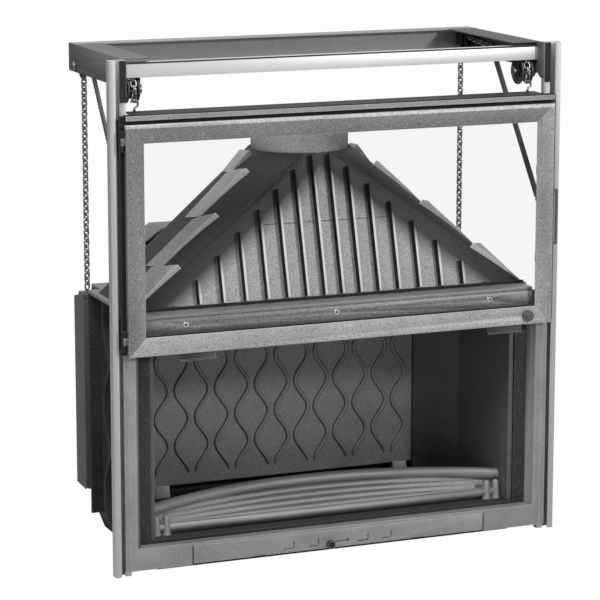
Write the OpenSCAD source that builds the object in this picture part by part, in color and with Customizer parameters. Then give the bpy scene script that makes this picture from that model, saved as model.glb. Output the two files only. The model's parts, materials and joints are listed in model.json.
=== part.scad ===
/* [Overall] */
// Width over the two front posts
body_w = 1000; // [960:5:1060]
// Height from the floor to the top of the posts
body_h = 1059; // [1050:1:1080]
// Depth from the post fronts to the rear panel
body_d = 383; // [376:1:420]
/* [Front posts] */
// Width of a post across the front
post_w = 36; // [35:0.5:38]
// Depth of a post
post_d = 20; // [19:0.5:24]
// Sheet thickness of the posts and the top frame
sheet_t = 2; // [1.5:0.5:2.5]
// Width of the outer lip of a post
lip_w = 13; // [12:0.5:14]
// Open slot in the front of a post
slot_w = 9; // [8:0.5:10]
/* [Top frame] */
// Height of the side and rear beams
beam_h = 58; // [50:1:62]
// Plate thickness of the top frame
beam_t = 3; // [2:0.5:3]
// Width of the top flange of a side beam
flange_w = 60; // [40:1:80]
// Height of the front beam
front_beam_h = 30; // [20:1:34]
// Distance of the front beam behind the post fronts
front_beam_y = 32.6; // [30:0.1:34]
// Width of a slanting brace
brace_w = 16; // [12:1:20]
/* [Chains and pulleys] */
// Radius of the chain's centre line on a pulley
chain_r = 26; // [25:0.5:27]
// Radius of a pulley flange
pulley_r = 28.5; // [27.5:0.5:29.5]
// Width of a pulley
pulley_w = 25; // [23:1:27]
// Radius of a pulley axle
axle_r = 6; // [5:0.5:7]
// Thickness of the chain's steel
wire = 3.5; // [3.25:0.25:3.75]
// Distance from link to link
pitch = 11.4; // [10.5:0.1:13]
// Outside width of a link
link_w = 13.5; // [13:0.5:14]
// Height of the front pulley's axle below the top
front_axle_drop = 64; // [62:1:68]
// Height of the rear pulley's axle below the top
rear_axle_drop = 44; // [43:1:50]
/* [Door] */
// Distance the door travels down
travel = 410; // [380:5:412]
// Height of the swinging door leaf
leaf_h = 469.5; // [440:0.5:470]
// Face width of the cast door frame
bezel_w = 38; // [34:1:42]
// Depth of the cast door frame at its outer edge
bezel_d = 9.6; // [8:0.1:10.5]
// Depth that the frame's face slopes in by
bezel_slope = 4.6; // [2:0.1:5]
// Thickness of the door glass
glass_t = 4; // [4:0.5:5]
// Width of the flat bars of the door carriage
carriage_w = 38; // [30:1:40]
// Thickness of the flat bars of the door carriage
carriage_t = 7; // [5:0.5:7]
// Height of the rail's front strip over the leaf
rail_h = 12; // [9:0.5:14]
// Radius of a hinge pin
pin_r = 2; // [1.5:0.25:2.25]
/* [Counterweights] */
// Width of a counterweight
weight_w = 28; // [20:1:29]
// Depth of a counterweight
weight_d = 52; // [40:1:54]
// Length of a counterweight
weight_h = 425; // [300:5:430]
/* [Firebox] */
// Height of the facade above the floor
facade_z = 10; // [6:1:14]
// Bottom of the fire opening
opening_z = 57; // [54:1:62]
// Top of the lintel ledge
lintel_z = 539; // [536:1:541]
// Height of the lintel's face
lintel_h = 42; // [30:1:50]
// Thickness of the facade plate
facade_t = 5.5; // [4:0.5:6]
// Distance from the post's outer edge to a wall's outer face
wall_in = 78; // [76:1:82]
// Thickness of the cast walls
wall_t = 8; // [6:0.5:9]
// Height of the base box
base_h = 51; // [48:1:52]
// Distance of the fireback plate's edge from a wall's outer face
fireback_in = 106; // [95:1:115]
// Air gap between the fireback plate and the back wall
fireback_gap = 21.2; // [15:0.1:28]
// Thickness of the fireback plate
fireback_t = 14; // [10:1:16]
// Bottom of the fireback plate
fireback_z = 86; // [82:1:92]
// Number of waved ribs on the fireback
wave_count = 9; // [5:1:12]
// Width of a waved rib
wave_w = 6; // [4:0.5:8]
/* [Hood] */
// Height of the hood's crown
crown_z = 834; // [800:1:850]
// Distance of the hood's front foot behind the post fronts
hood_y = 49; // [48:1:60]
// Thickness of the hood plates
hood_t = 6; // [5:0.5:8]
// Ribs on each half of the hood's front
rib_count = 8; // [4:1:8]
// Thickness of a hood rib
rib_w = 5; // [4:0.5:8]
// Depth of a hood rib
rib_d = 18; // [12:0.5:20]
// Height from one ridge shingle to the next
shingle_h = 88; // [70:1:110]
// Depth of a ridge shingle from front to rear
shingle_d = 130; // [90:1:150]
// Outside radius of the flue collar
collar_r = 104; // [95:0.5:106]
// Wall of the flue collar
collar_t = 4; // [3:0.5:6]
// Height of the collar's top
collar_top = 885; // [875:1:900]
/* [Ash drawer] */
// Half the width of the drawer front
drawer_x = 332; // [300:1:340]
// Top of the drawer front
drawer_top = 50; // [46:0.5:50]
// Bottom of the drawer front
drawer_z = 12; // [10:0.5:14]
// Half the width of the ash pan
pan_x = 180; // [150:1:220]
/* [Hidden] */
$fn = 48;
// The origin lies under the middle of the whole depth, so the post fronts sit at front_y
knob_reach = 37;
front_y = -(body_d - knob_reach) / 2;
half_w = body_w / 2;
clear = 0.3;
run = 0.05;
seat = 1;
post_in = half_w - post_w;
lip_x = half_w - lip_w;
slot_x = lip_x - slot_w;
web_x = post_in - beam_t;
beam_z = body_h - beam_h;
frame_rear = body_d - 3;
rear_flange = 35;
wall_x = half_w - wall_in;
chain_x = wall_x + 2 + weight_w / 2;
jacket_x = half_w - 40;
jacket_t = 1.5;
rail_z = lintel_z + seat + travel;
strip_z = rail_z - 9;
leaf_top = strip_z - 8;
leaf_z = leaf_top - leaf_h;
leaf_x = slot_x - 3.2;
carriage_x = lip_x - 3;
carriage_y = -10;
leaf_rear = carriage_y - 1;
leaf_y = -26.6;
glass_y = leaf_y + bezel_d;
front_axle = [chain_r + 31.5, body_h - front_axle_drop];
rear_axle = [frame_rear - 21 - chain_r, body_h - rear_axle_drop];
hinge_x = -(leaf_x + 4.7);
hinge_y = -15.5;
opening_x = 441;
jamb_x = slot_x;
hood_x = opening_x + 2.5;
hood_base = lintel_z + 1;
foot_z = hood_base - 3;
tip_z = crown_z + 3;
hood_rise = tip_z - foot_z;
collar_y = hood_y + 186;
crown_r = collar_r + 2;
collar_low = crown_z - 22;
field_a = 13;
crown_front = collar_y - crown_r * cos(field_a);
crown_rear = collar_y + crown_r * cos(field_a);
hood_rear = hood_y + 226;
hood_lean = atan((crown_front - hood_y) / hood_rise);
side_lean = atan((hood_x - crown_r) / hood_rise);
rear_in = body_d - jacket_t - clear;
fireback_x = wall_x - fireback_in;
fireback_y = rear_in - wall_t - fireback_gap - fireback_t;
iron = "dimgray";
dark = "#3a3a3a";
steel = "silver";

module at_front() { translate([0, front_y, 0]) children(); }
module on_left() { mirror([1, 0, 0]) children(); }
module both() { children(); on_left() children(); }
module block(low, high) { translate(low) cube(high - low); }
module rod_x(r, x0, x1, y, z) { translate([x0, y, z]) rotate([0, 90, 0]) cylinder(r = r, h = x1 - x0); }
module rod_y(r, y0, y1, x, z) { translate([x, y0, z]) rotate([-90, 0, 0]) cylinder(r = r, h = y1 - y0); }
module rod_z(r, z0, z1, x, y) { translate([x, y, z0]) cylinder(r = r, h = z1 - z0); }

// A plate drawn in the plane of X and height, standing at depth y, thickness towards the rear
module upright_x(y, t) { translate([0, y + t, 0]) rotate([90, 0, 0]) linear_extrude(t) children(); }
// A plate drawn in the plane of depth and height, standing at x, thickness towards +X
module upright_y(x, t) { translate([x, 0, 0]) rotate([90, 0, 90]) linear_extrude(t) children(); }

// A folded C rail: back, two side walls and two lips with an open slot between them
module post() {
    low = 7;
    difference() {
        linear_extrude(body_h) difference() {
            translate([post_in, 0]) square([post_w, post_d]);
            translate([post_in + sheet_t, sheet_t]) square([post_w - 2 * sheet_t, post_d - 2 * sheet_t]);
            translate([slot_x, -1]) square([slot_w, sheet_t + 2]);
            translate([post_in - 1, -1]) square([slot_x - post_in + 1 + clear, 1 + facade_t + 0.5]);
        }
        translate([half_w, -1, 0]) rotate([0, -45, 0]) translate([-low, 0, -low])
            cube([2 * low, post_d + 2, low]);
    }
    linear_extrude(body_h) translate([post_in, facade_t + 0.5]) square([slot_x - post_in, sheet_t]);
}

module side_beam() {
    difference() {
        union() {
            upright_y(web_x, beam_t) polygon([[8, beam_z - 14], [20, beam_z - 18], [46, beam_z],
                [frame_rear, beam_z], [frame_rear, body_h], [8, body_h]]);
            block([web_x - flange_w, front_beam_y + beam_t, body_h - beam_t],
                [web_x, frame_rear - rear_flange, body_h]);
        }
        rod_x(axle_r + run, web_x - 1, half_w, rear_axle[0], rear_axle[1]);
        rod_x(axle_r + run, web_x - 1, half_w, front_axle[0], front_axle[1]);
    }
}

// Flat bar from the side beam down to the rear of the post, with a bolt at its upper end
module brace() {
    bar_t = 4;
    top = [247, body_h - 30];
    foot = [post_d + 2, top[1] - (top[0] - post_d - 2) * 1.32];
    along = (foot - top) / norm(foot - top);
    across = [-along[1], along[0]] * brace_w / 2;
    upright_y(web_x - bar_t, bar_t) polygon([top - across, top + across, foot + across, foot - across]);
    block([web_x - bar_t, post_d, foot[1] - 12], [post_in + 12, post_d + bar_t, foot[1] + 10]);
    rod_x(8, web_x - bar_t - 5, web_x - bar_t, top[0] - 4, top[1] - 5);
}

// U bracket that holds a pulley's axle at both ends, its outer cheek against the side beam
module pulley_bracket(axle) {
    cheek = 3;
    inner_x = chain_x - pulley_w / 2 - 2 - cheek;
    bridge_z = axle[1] + chain_r + link_w / 2 + 1.5;
    difference() {
        union() {
            block([inner_x, axle[0] - 14, axle[1] - 12], [inner_x + cheek, axle[0] + 14, bridge_z + cheek]);
            block([web_x - cheek, axle[0] - 14, axle[1] - 12], [web_x, axle[0] + 14, bridge_z + cheek]);
            block([inner_x, axle[0] - 14, bridge_z], [web_x, axle[0] + 14, bridge_z + cheek]);
        }
        rod_x(axle_r + run, inner_x - 1, web_x + 1, axle[0], axle[1]);
    }
}

// Axle with a head on the inner cheek and a nut outside the side beam
module pulley_axle(axle) {
    inner_x = chain_x - pulley_w / 2 - 5;
    rod_x(axle_r, inner_x - 4, post_in + 6, axle[0], axle[1]);
    rod_x(axle_r + 4, inner_x - 5, inner_x, axle[0], axle[1]);
    translate([post_in, axle[0], axle[1]]) rotate([0, 90, 0]) cylinder(r = axle_r + 4, h = 5, $fn = 6);
}

// Grooved wheel, drawn as a half section and turned about its axle
module pulley(axle) {
    half = pulley_w / 2;
    groove_r = chain_r - (link_w + wire) / 2 / sqrt(2) - 0.5;
    hub_r = axle_r + 4;
    left_end = -half - 2 + clear;
    right_end = web_x - 3 - chain_x - clear;
    translate([chain_x, axle[0], axle[1]]) rotate([0, 90, 0]) rotate_extrude() polygon([
        [axle_r + run, left_end], [hub_r, left_end], [hub_r, -half + 2], [pulley_r - 5, -half + 2],
        [pulley_r - 4, -half], [pulley_r, -half], [pulley_r, -half + 3],
        [groove_r, -half + 6], [groove_r, half - 6], [pulley_r, half - 3], [pulley_r, half],
        [pulley_r - 4, half], [pulley_r - 5, half - 2], [hub_r, half - 2], [hub_r, right_end],
        [axle_r + run, right_end]]);
}

// One link of the chain, lying along Y, turned a quarter from the next
slack = 0.8;
link_len = pitch + slack + 2 * wire;
module link(quarter) {
    round_r = link_w / 2;
    rotate([0, quarter ? 45 : -45, 0]) translate([0, 0, -wire / 2]) linear_extrude(wire) difference() {
        union() {
            square([link_w, link_len - link_w], center = true);
            translate([0, link_len / 2 - round_r]) circle(round_r);
            translate([0, round_r - link_len / 2]) circle(round_r);
        }
        square([link_w - 2 * wire, link_len - 2 * wire], center = true);
    }
}

// The run over both pulleys: up round the front one, along the slope and down round the rear one
run_yz = rear_axle - front_axle;
slope = atan2(run_yz[1], run_yz[0]);
front_arc = chain_r * (90 - slope) * PI / 180;
rear_arc = chain_r * (90 + slope) * PI / 180;
top_len = front_arc + norm(run_yz) + rear_arc;
top_links = floor(top_len / pitch);
function on_wheel(axle, a) = [axle[0] + chain_r * cos(a), axle[1] + chain_r * sin(a), a - 90];
function turned(s) = s / chain_r * 180 / PI;
crest = on_wheel(front_axle, 90 + slope);
function top_point(s) =
    s < front_arc ? on_wheel(front_axle, 180 - turned(s))
    : s > front_arc + norm(run_yz) ? on_wheel(rear_axle, 90 + slope - turned(s - front_arc - norm(run_yz)))
    : [crest[0] + (s - front_arc) * cos(slope), crest[1] + (s - front_arc) * sin(slope), slope];

module top_chain() {
    for (i = [0 : top_links - 1]) {
        at = top_point((i + 0.5) * top_len / top_links);
        translate([chain_x, at[0], at[1]]) rotate([at[2], 0, 0]) link(i % 2 == 0);
    }
}

// A straight run of links that hangs down from z_top
module hanging_chain(y, z_top, count, first) {
    for (i = [0 : count - 1])
        translate([chain_x, y, z_top - (i + 0.5) * pitch]) rotate([90, 0, 0]) link((i + first) % 2 == 0);
}

hang_z = lintel_z - 3;
hook_room = 10;
rear_links = round((rear_axle[1] - hang_z) / pitch);
front_links = floor((front_axle[1] - rail_z - hook_room) / pitch);
end_gap = link_len / 2 - pitch / 2 + clear;
rear_end = rear_axle[1] - rear_links * pitch - end_gap;
front_end = front_axle[1] - front_links * pitch - end_gap;
weight_top = rear_end - 5;
weight_low = weight_top - weight_h;
// The path turns over at the rear pulley, so the quarter there is counted from the other side
module rear_chain() { hanging_chain(rear_axle[0] + chain_r, rear_axle[1], rear_links, top_links + 1); }
module front_chain() { hanging_chain(front_axle[0] - chain_r, front_axle[1], front_links, 1); }

// Steel bar with a stud on top for the chain
module counterweight() {
    stud_r = 4;
    x0 = chain_x - weight_w / 2;
    rear = frame_rear - 3;
    block([x0, rear - weight_d, weight_low], [x0 + weight_w, rear, weight_top]);
    rod_z(stud_r, weight_top - 1, rear_end, chain_x, rear_axle[0] + chain_r);
}

// Flat frame behind the door leaf, with the angle rail on top that the chains lift
bar_z = leaf_z + 3;
module door_carriage() {
    rail_t = 3;
    rail_front = leaf_y + 3;
    lug_r = 4;
    stud_r = 3;
    bar_rear = carriage_y + carriage_t;
    hook_y = front_axle[0] - chain_r;
    at_front() color(iron) difference() {
        union() {
            difference() {
                block([-carriage_x, carriage_y, bar_z], [carriage_x, bar_rear, rail_z]);
                block([carriage_w - carriage_x, carriage_y - 1, bar_z + carriage_w - 6],
                    [carriage_x - carriage_w, bar_rear + 1, leaf_top - carriage_w + 3]);
            }
            block([-leaf_x, rail_front, strip_z], [leaf_x, carriage_y + 1, rail_z + rail_t]);
            block([5 - web_x, carriage_y, rail_z], [web_x - 5, hook_y + 6, rail_z + rail_t]);
            both() rod_z(stud_r, rail_z, front_end, chain_x, hook_y);
            for (z = hinge_zs) for (dz = [0, 28]) {
                rod_z(lug_r, z + dz, z + dz + 13.7, hinge_x, hinge_y);
                block([hinge_x - lug_r, hinge_y, z + dz], [hinge_x, carriage_y + 1, z + dz + 13.7]);
            }
        }
        for (z = hinge_zs) rod_z(pin_r + run, z - 1, z + 43, hinge_x, hinge_y);
    }
}
hinge_zs = [leaf_z + 12, leaf_top - 54];

// Blocks that run inside the posts, each with a neck through the slot to the carriage
module guide_block(z) {
    gap = 0.5;
    tall = 60;
    block([post_in + sheet_t + gap, facade_t + 0.5 + sheet_t + gap, z],
        [half_w - sheet_t - gap, post_d - sheet_t - gap, z + tall]);
    block([slot_x + 2, carriage_y + carriage_t, z], [slot_x + 6, facade_t + 3 + sheet_t, z + tall]);
}
module guide_blocks() {
    at_front() color("black") both() for (z = [leaf_z + 12, rail_z - 70]) guide_block(z);
}
module hinge_pins() {
    at_front() color(steel) for (z = hinge_zs) rod_z(pin_r, z, z + 41.7, hinge_x, hinge_y);
}

// Section of the cast door frame: x from its outer edge inwards, y as depth
rim_w = 26;
seal_t = 2;
module bezel_section() {
    edge = 1.5;
    rear = glass_y + glass_t;
    polygon([[0, leaf_y + edge], [edge, leaf_y], [bezel_w, leaf_y + bezel_slope],
        [bezel_w, glass_y - seal_t], [rim_w, glass_y - seal_t], [rim_w, rear], [0, rear]]);
}

// One mitred side of the cast door frame, of the length between its outer corners
module bezel_side(len) {
    intersection() {
        linear_extrude(len) bezel_section();
        translate([0, -40, 0]) rotate([-90, 0, 0]) linear_extrude(60)
            polygon([[0, 0], [bezel_w, -bezel_w], [bezel_w, bezel_w - len], [0, -len]]);
    }
}
latch_x = leaf_x - 56.8;
latch_z = leaf_z + 19;
latch_shaft = 4;
module door_frame() {
    knuckle_r = 4;
    at_front() color(iron) {
        translate([-leaf_x, 0, leaf_z]) bezel_side(leaf_h);
        mirror([1, 0, 0]) translate([-leaf_x, 0, leaf_z]) bezel_side(leaf_h);
        difference() {
            translate([leaf_x, 0, leaf_z]) rotate([0, -90, 0]) bezel_side(2 * leaf_x);
            rod_y(latch_shaft + run, leaf_y - 1, glass_y + glass_t + 1, latch_x, latch_z);
        }
        translate([-leaf_x, 0, leaf_top]) rotate([0, 90, 0]) bezel_side(2 * leaf_x);
        difference() {
            union() for (z = hinge_zs) {
                rod_z(knuckle_r, z + 14, z + 27.7, hinge_x, hinge_y);
                block([hinge_x, hinge_y - 3, z + 14], [1 - leaf_x, hinge_y + 2, z + 27.7]);
            }
            for (z = hinge_zs) rod_z(pin_r + run, z, z + 40, hinge_x, hinge_y);
        }
    }
}

// A flat ring in the plane of the door, drawn by its outer half width and its heights
module door_ring(x, low, high, w, y, t) {
    upright_x(y, t) difference() {
        translate([-x, low]) square([2 * x, high - low]);
        translate([w - x, low + w]) square([2 * (x - w), high - low - 2 * w]);
    }
}
pane_x = leaf_x - rim_w - 1;
pane_low = leaf_z + rim_w + 1;
pane_high = leaf_top - rim_w - 1;
module door_glass() {
    at_front() color("lightblue", 0.3)
        block([-pane_x, glass_y, pane_low], [pane_x, glass_y + glass_t, pane_high]);
}
module glass_seal() {
    at_front() color("black") door_ring(pane_x, pane_low, pane_high, 9, glass_y - seal_t, seal_t);
}

// Small plates that hold the pane in its rebate, with one screw each
module glass_clips() {
    y = glass_y + glass_t;
    clip_t = 1.6;
    at_front() color(steel) {
        both() for (z = [leaf_z + leaf_h * 0.3, leaf_z + leaf_h * 0.7])
            block([pane_x - 8, y, z - 10], [pane_x + 14, y + clip_t, z + 10]);
        for (x = [-250, 0, 250]) {
            block([x - 10, y, leaf_z + rim_w - 14], [x + 10, y + clip_t, pane_low + 8]);
            block([x - 10, y, pane_high - 8], [x + 10, y + clip_t, leaf_top - rim_w + 14]);
        }
    }
}

// Disc with a hub in front, a shaft through the door frame and a cam behind it
module latch_knob() {
    disc_r = 12;
    cam_y = glass_y + glass_t + clear;
    at_front() color(steel) difference() {
        union() {
            rod_y(latch_shaft, leaf_y - 3, cam_y + 2, latch_x, latch_z);
            rod_y(disc_r, leaf_y - 6, leaf_y - clear, latch_x, latch_z);
            rod_y(6, -knob_reach, leaf_y - 5, latch_x, latch_z);
            block([latch_x - 22, cam_y, latch_z - 5], [latch_x, cam_y + 2, latch_z + 5]);
        }
        block([latch_x - 1, -knob_reach - 1, latch_z - 7], [latch_x + 1, 3 - knob_reach, latch_z + 7]);
    }
}

// Bent wire handle on the door's right edge
module side_handle() {
    r = 3;
    reach = 10;
    y = leaf_y + 7;
    low = leaf_z + 170;
    high = leaf_z + 284;
    at_front() color(steel) union() {
        for (z = [low, high]) {
            rod_x(r, leaf_x, leaf_x + reach, y, z);
            translate([leaf_x + reach, y, z]) sphere(r);
        }
        rod_z(r, low, high, leaf_x + reach, y);
    }
}

// Flat tabs under the door's bottom edge, each with a lip to lift by
tab_centres = [-327, 366];
module lift_tabs() {
    tab_w = 80;
    drop = 16;
    y = glass_y - 3;
    at_front() color(steel) for (x = tab_centres) {
        block([x - tab_w / 2, y, leaf_z - drop], [x + tab_w / 2, y + 3, leaf_z]);
        block([x - tab_w / 2, y - 6, leaf_z - drop], [x + tab_w / 2, y, leaf_z - drop + 3]);
    }
}

// Points of a strip of width w that waves about y0 as it rises from z0 to z1
wave_steps = 40;
function wave_y(y0, swing, z, middle, period) = y0 + swing * cos(180 * (z - middle) / period);
function wave_edge(y0, swing, z0, z1, middle, period, order) =
    [for (i = order) let (z = z0 + (z1 - z0) * i / wave_steps) [wave_y(y0, swing, z, middle, period), z]];
function wave_strip(y0, swing, z0, z1, middle, period, w) = concat(
    wave_edge(y0 - w / 2, swing, z0, z1, middle, period, [0 : wave_steps]),
    wave_edge(y0 + w / 2, swing, z0, z1, middle, period, [wave_steps : -1 : 0]));

// Facade round the fire opening: bevelled jambs, a sill cut out for the drawer and a bar behind the lintel
facade_y = 0.5;
facade_rear = facade_y + facade_t;
jamb_rear = 24;
jamb_top = lintel_z - 9;
lintel_low = lintel_z - lintel_h;
module facade_frame() {
    bead = 1.5;
    screw_r = 2.5;
    at_front() color(iron) difference() {
        union() {
            both() translate([0, 0, facade_z]) linear_extrude(jamb_top - facade_z) polygon([
                [jamb_x, facade_y], [opening_x + 28, facade_y], [opening_x + 27, facade_y - bead],
                [opening_x + 25, facade_y - bead], [opening_x + 24, facade_y], [opening_x + 11, facade_y],
                [opening_x, jamb_rear - 4], [opening_x, jamb_rear], [opening_x + 4, jamb_rear],
                [opening_x + 15, facade_rear], [jamb_x, facade_rear]]);
            block([-opening_x - 12, facade_y, facade_z], [opening_x + 12, facade_rear, opening_z]);
            block([-opening_x - 1, facade_y, drawer_top + clear], [opening_x + 1, jamb_rear, opening_z]);
            block([-opening_x - 5, facade_rear, lintel_low], [opening_x + 5, facade_rear + 6, jamb_top]);
        }
        block([-drawer_x - clear, facade_y - 3, facade_z - 1],
            [drawer_x + clear, jamb_rear + 1, drawer_top + clear]);
        for (x = screw_xs) rod_y(screw_r + run, 0, 20, x, screw_z);
    }
}
screw_xs = [-344, -12, 340];
screw_z = lintel_z - 21;

// Ledge over the opening, drawn as a section in depth and height
module lintel() {
    x = opening_x - clear;
    rear = facade_rear;
    at_front() color(iron) difference() {
        upright_y(-x, 2 * x) polygon([[0, lintel_low], [rear, lintel_low], [rear, lintel_z - 5],
            [hood_y - 3, lintel_z - 5], [hood_y - 3, lintel_z], [-1, lintel_z], [-1, lintel_z - 5],
            [3, lintel_z - 5], [3, lintel_z - 9], [0, lintel_z - 9]]);
        for (x = screw_xs) rod_y(2.5 + run, -2, 20, x, screw_z);
    }
}
module lintel_screws() {
    at_front() color(steel) for (x = screw_xs) {
        rod_y(2.5, -1, facade_rear + 7, x, screw_z);
        rod_y(5.5, -1.2, 0, x, screw_z);
    }
}

plate_z = lintel_z - 7;
plate_top = lintel_z + 1;
channel_y = frame_rear - weight_d - 10;
module top_plate() {
    passage_x = opening_x - 181;
    x = half_w - 50;
    at_front() color(iron) difference() {
        translate([0, 0, plate_z]) linear_extrude(plate_top - plate_z) polygon([
            [-x, hood_y - 3 + clear], [x, hood_y - 3 + clear], [x, channel_y], [wall_x - clear, channel_y],
            [wall_x - clear, rear_in], [clear - wall_x, rear_in], [clear - wall_x, channel_y], [-x, channel_y]]);
        block([-passage_x, hood_y + 31, plate_z - 1], [passage_x, hood_rear - 12, plate_top + 1]);
    }
}

// Cast side wall with two waved ribs that cross into lens shapes, and a flange that closes the weight channel
module wall() {
    middle = (jamb_rear + channel_y) / 2 + 44;
    swing = 45;
    lens = 190;
    crossing = plate_z - 234;
    rib_t = 9;
    rib_out = 16;
    flange_d = 6;
    z0 = base_h;
    block([wall_x - wall_t, jamb_rear + clear, z0], [wall_x, rear_in, plate_z]);
    for (y = [jamb_rear + clear, channel_y - flange_d])
        block([wall_x - 1, y, z0], [half_w - 50, y + flange_d, plate_z]);
    for (side = [-1, 1])
        upright_y(wall_x - 1, rib_out + 1)
            polygon(wave_strip(middle, side * swing, z0, plate_z, crossing, lens, rib_t));
}
module back_wall() {
    x = wall_x - wall_t - clear;
    at_front() color(dark) block([-x, rear_in - wall_t, base_h], [x, rear_in, plate_z]);
}

// Folded rear panel with side returns, which holds a channel for a weight on each side
module rear_jacket() {
    low = weight_low + 4;
    high = lintel_z - 22;
    at_front() color(dark) {
        block([-jacket_x, body_d - jacket_t, low], [jacket_x, body_d, high]);
        both() upright_y(jacket_x - jacket_t, jacket_t) polygon([
            [channel_y + 3, low - 3], [body_d, low], [body_d, high], [channel_y + 3, high + 16]]);
        both() block([half_w - 50 - clear, channel_y + clear, low], [jacket_x, channel_y + clear + 2.9, high]);
    }
}

module fireback_plate() {
    proud = 5;
    top = lintel_z - 19;
    margin = 24;
    swing = 14;
    opening_mid = (opening_z + lintel_z) / 2;
    step = (2 * fireback_x - 3 * margin) / (wave_count - 1);
    at_front() color(dark) union() {
        block([-fireback_x, fireback_y, fireback_z], [fireback_x, fireback_y + fireback_t, top]);
        for (i = [0 : wave_count - 1])
            upright_x(fireback_y - proud, proud + 1) polygon(wave_strip((i - (wave_count - 1) / 2) * step,
                i % 2 == 0 ? swing : -swing, fireback_z + margin, top - margin, opening_mid, 62, wave_w));
    }
}
module fireback_lugs() {
    lug_w = 34;
    rear = fireback_y + fireback_t;
    at_front() color(iron) both() upright_y(fireback_x - 33 - lug_w / 2, lug_w) polygon([
        [fireback_y - 12, hearth_z], [rear, hearth_z], [rear, fireback_z - clear],
        [fireback_y - clear, fireback_z - clear], [fireback_y - clear, fireback_z + 4],
        [fireback_y - 6, fireback_z + 4]]);
}

// Lining that slants from the fireback to the wall and runs forward to the jamb
module side_panel() {
    outer = wall_x - wall_t - clear;
    low = jamb_rear + 6;
    rear = fireback_y + fireback_t;
    translate([0, 0, hearth_z + clear]) linear_extrude(plate_z - hearth_z - 10) polygon([
        [fireback_x + 2, fireback_y], [outer - 23.7, fireback_y - 88], [outer - 9.7, low], [outer, low],
        [outer, fireback_y - 76], [fireback_x + 16, rear], [fireback_x + 2, rear]]);
}

hearth_z = base_h + 12;
grate_x = 150;
grate_y = [90, 210];
module hearth_floor() {
    ledge = 10;
    x = wall_x - wall_t - clear;
    at_front() color(dark) difference() {
        block([-x, jamb_rear + 2, base_h], [x, rear_in - wall_t - clear, hearth_z]);
        block([-grate_x, grate_y[0], base_h + 2], [grate_x, grate_y[1], hearth_z + 1]);
        block([ledge - grate_x, grate_y[0] + ledge, base_h - 1],
            [grate_x - ledge, grate_y[1] - ledge, hearth_z + 1]);
    }
}
module ash_grate() {
    slots = 12;
    bar = 8;
    rim = 16;
    x = grate_x - clear;
    step = (2 * x - 3 * bar) / slots;
    at_front() color(iron) difference() {
        block([-x, grate_y[0] + clear, base_h + 2], [x, grate_y[1] - clear, hearth_z - 1]);
        for (i = [0 : slots - 1])
            block([2 * bar - x + i * step, grate_y[0] + rim, base_h],
                [bar - x + (i + 1) * step, grate_y[1] - rim, hearth_z]);
    }
}

// Bowed cradle for the logs: terraces that rise from a straight front bar to a high bowed rear bar
module log_cradle() {
    half = opening_x - 49;
    front = 72;
    end_y = 96;
    bow = 110;
    deep = front + 228;
    steps = 4;
    low = hearth_z + clear;
    foot_h = 12;
    step_h = 6.5;
    rim_r = 13;
    rim_z = low + 46.7;
    bar_r = 9;
    ear_r = 7;
    function radius(s) = (half * half + s * s) / (2 * s);
    rear_r = radius(bow);
    at_front() color(iron) {
        intersection() {
            block([-half, front, low], [half, deep, rim_z]);
            translate([0, end_y + bow - rear_r, 0]) cylinder(r = rear_r, h = rim_z, $fn = 200);
            union() {
                block([-half, front, low], [half, deep, low + foot_h]);
                for (k = [1 : steps]) {
                    end = front + 4 * k;
                    middle = front + (bow + end_y - front - 14) * k / (steps + 1);
                    difference() {
                        block([-half, front, low], [half, deep, low + foot_h + step_h * k]);
                        translate([0, middle - radius(middle - end), 0])
                            cylinder(r = radius(middle - end), h = rim_z, $fn = 200);
                    }
                }
            }
        }
        intersection() {
            translate([0, end_y + bow - rear_r, rim_z]) rotate_extrude($fn = 200)
                translate([rear_r - rim_r - 1, 0]) circle(rim_r, $fn = 32);
            block([1 - half, front, low], [half - 1, deep, rim_z + rim_r + 1]);
        }
        rod_x(bar_r, 12 - half, half - 12, front - bar_r + 1, low + bar_r + 5);
        both() for (dx = [0, 18]) rod_z(ear_r, low, low + 36, half - 26 + dx, front - ear_r - 1.5);
    }
}

port_xs = [-118.5, -62.3, 50.5, 104.2];
port_z = 27;
slot_z = 25;
module ports(y0, y1, shift) {
    for (x = port_xs) block([x - 12.5 + shift, y0, port_z - 8], [x + 12.5 + shift, y1, port_z + 8]);
}
module ash_drawer_front() {
    at_front() color(iron) difference() {
        block([-drawer_x, facade_y, drawer_z], [drawer_x, facade_rear, drawer_top]);
        ports(facade_y - 1, facade_rear + 1, 0);
        block([-29, facade_y - 1, slot_z - 3], [18, facade_rear + 1, slot_z + 3]);
        for (x = [-186, 179])
            block([x - 14, facade_y - 1, drawer_z - 1], [x + 14, facade_y + 2.5, drawer_z + 6]);
    }
}
pan_low = 16;
pan_depth = 280;
module ash_pan() {
    t = 2;
    front = facade_rear + 6;
    at_front() color(steel) difference() {
        block([-pan_x, facade_rear, pan_low], [pan_x, pan_depth, drawer_top - 6]);
        block([t - pan_x, front + t, pan_low + t], [pan_x - t, pan_depth - t, drawer_top]);
        block([t - pan_x, facade_rear - 1, pan_low - 1], [pan_x - t, front, drawer_top]);
    }
}
module air_slider() {
    y = facade_rear + clear;
    at_front() color(steel) union() {
        difference() {
            block([-145, y, pan_low + 2], [110, y + 2, drawer_top - 12]);
            for (x = port_xs) if (x < 60) block([x - 12.5, y - 1, port_z - 8], [x + 12.5, y + 3, port_z + 8]);
        }
        rod_y(2.5, -4, y + 1, -25, slot_z);
        rod_y(8, -10, facade_y - clear, -25, slot_z - 4);
    }
}

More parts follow.
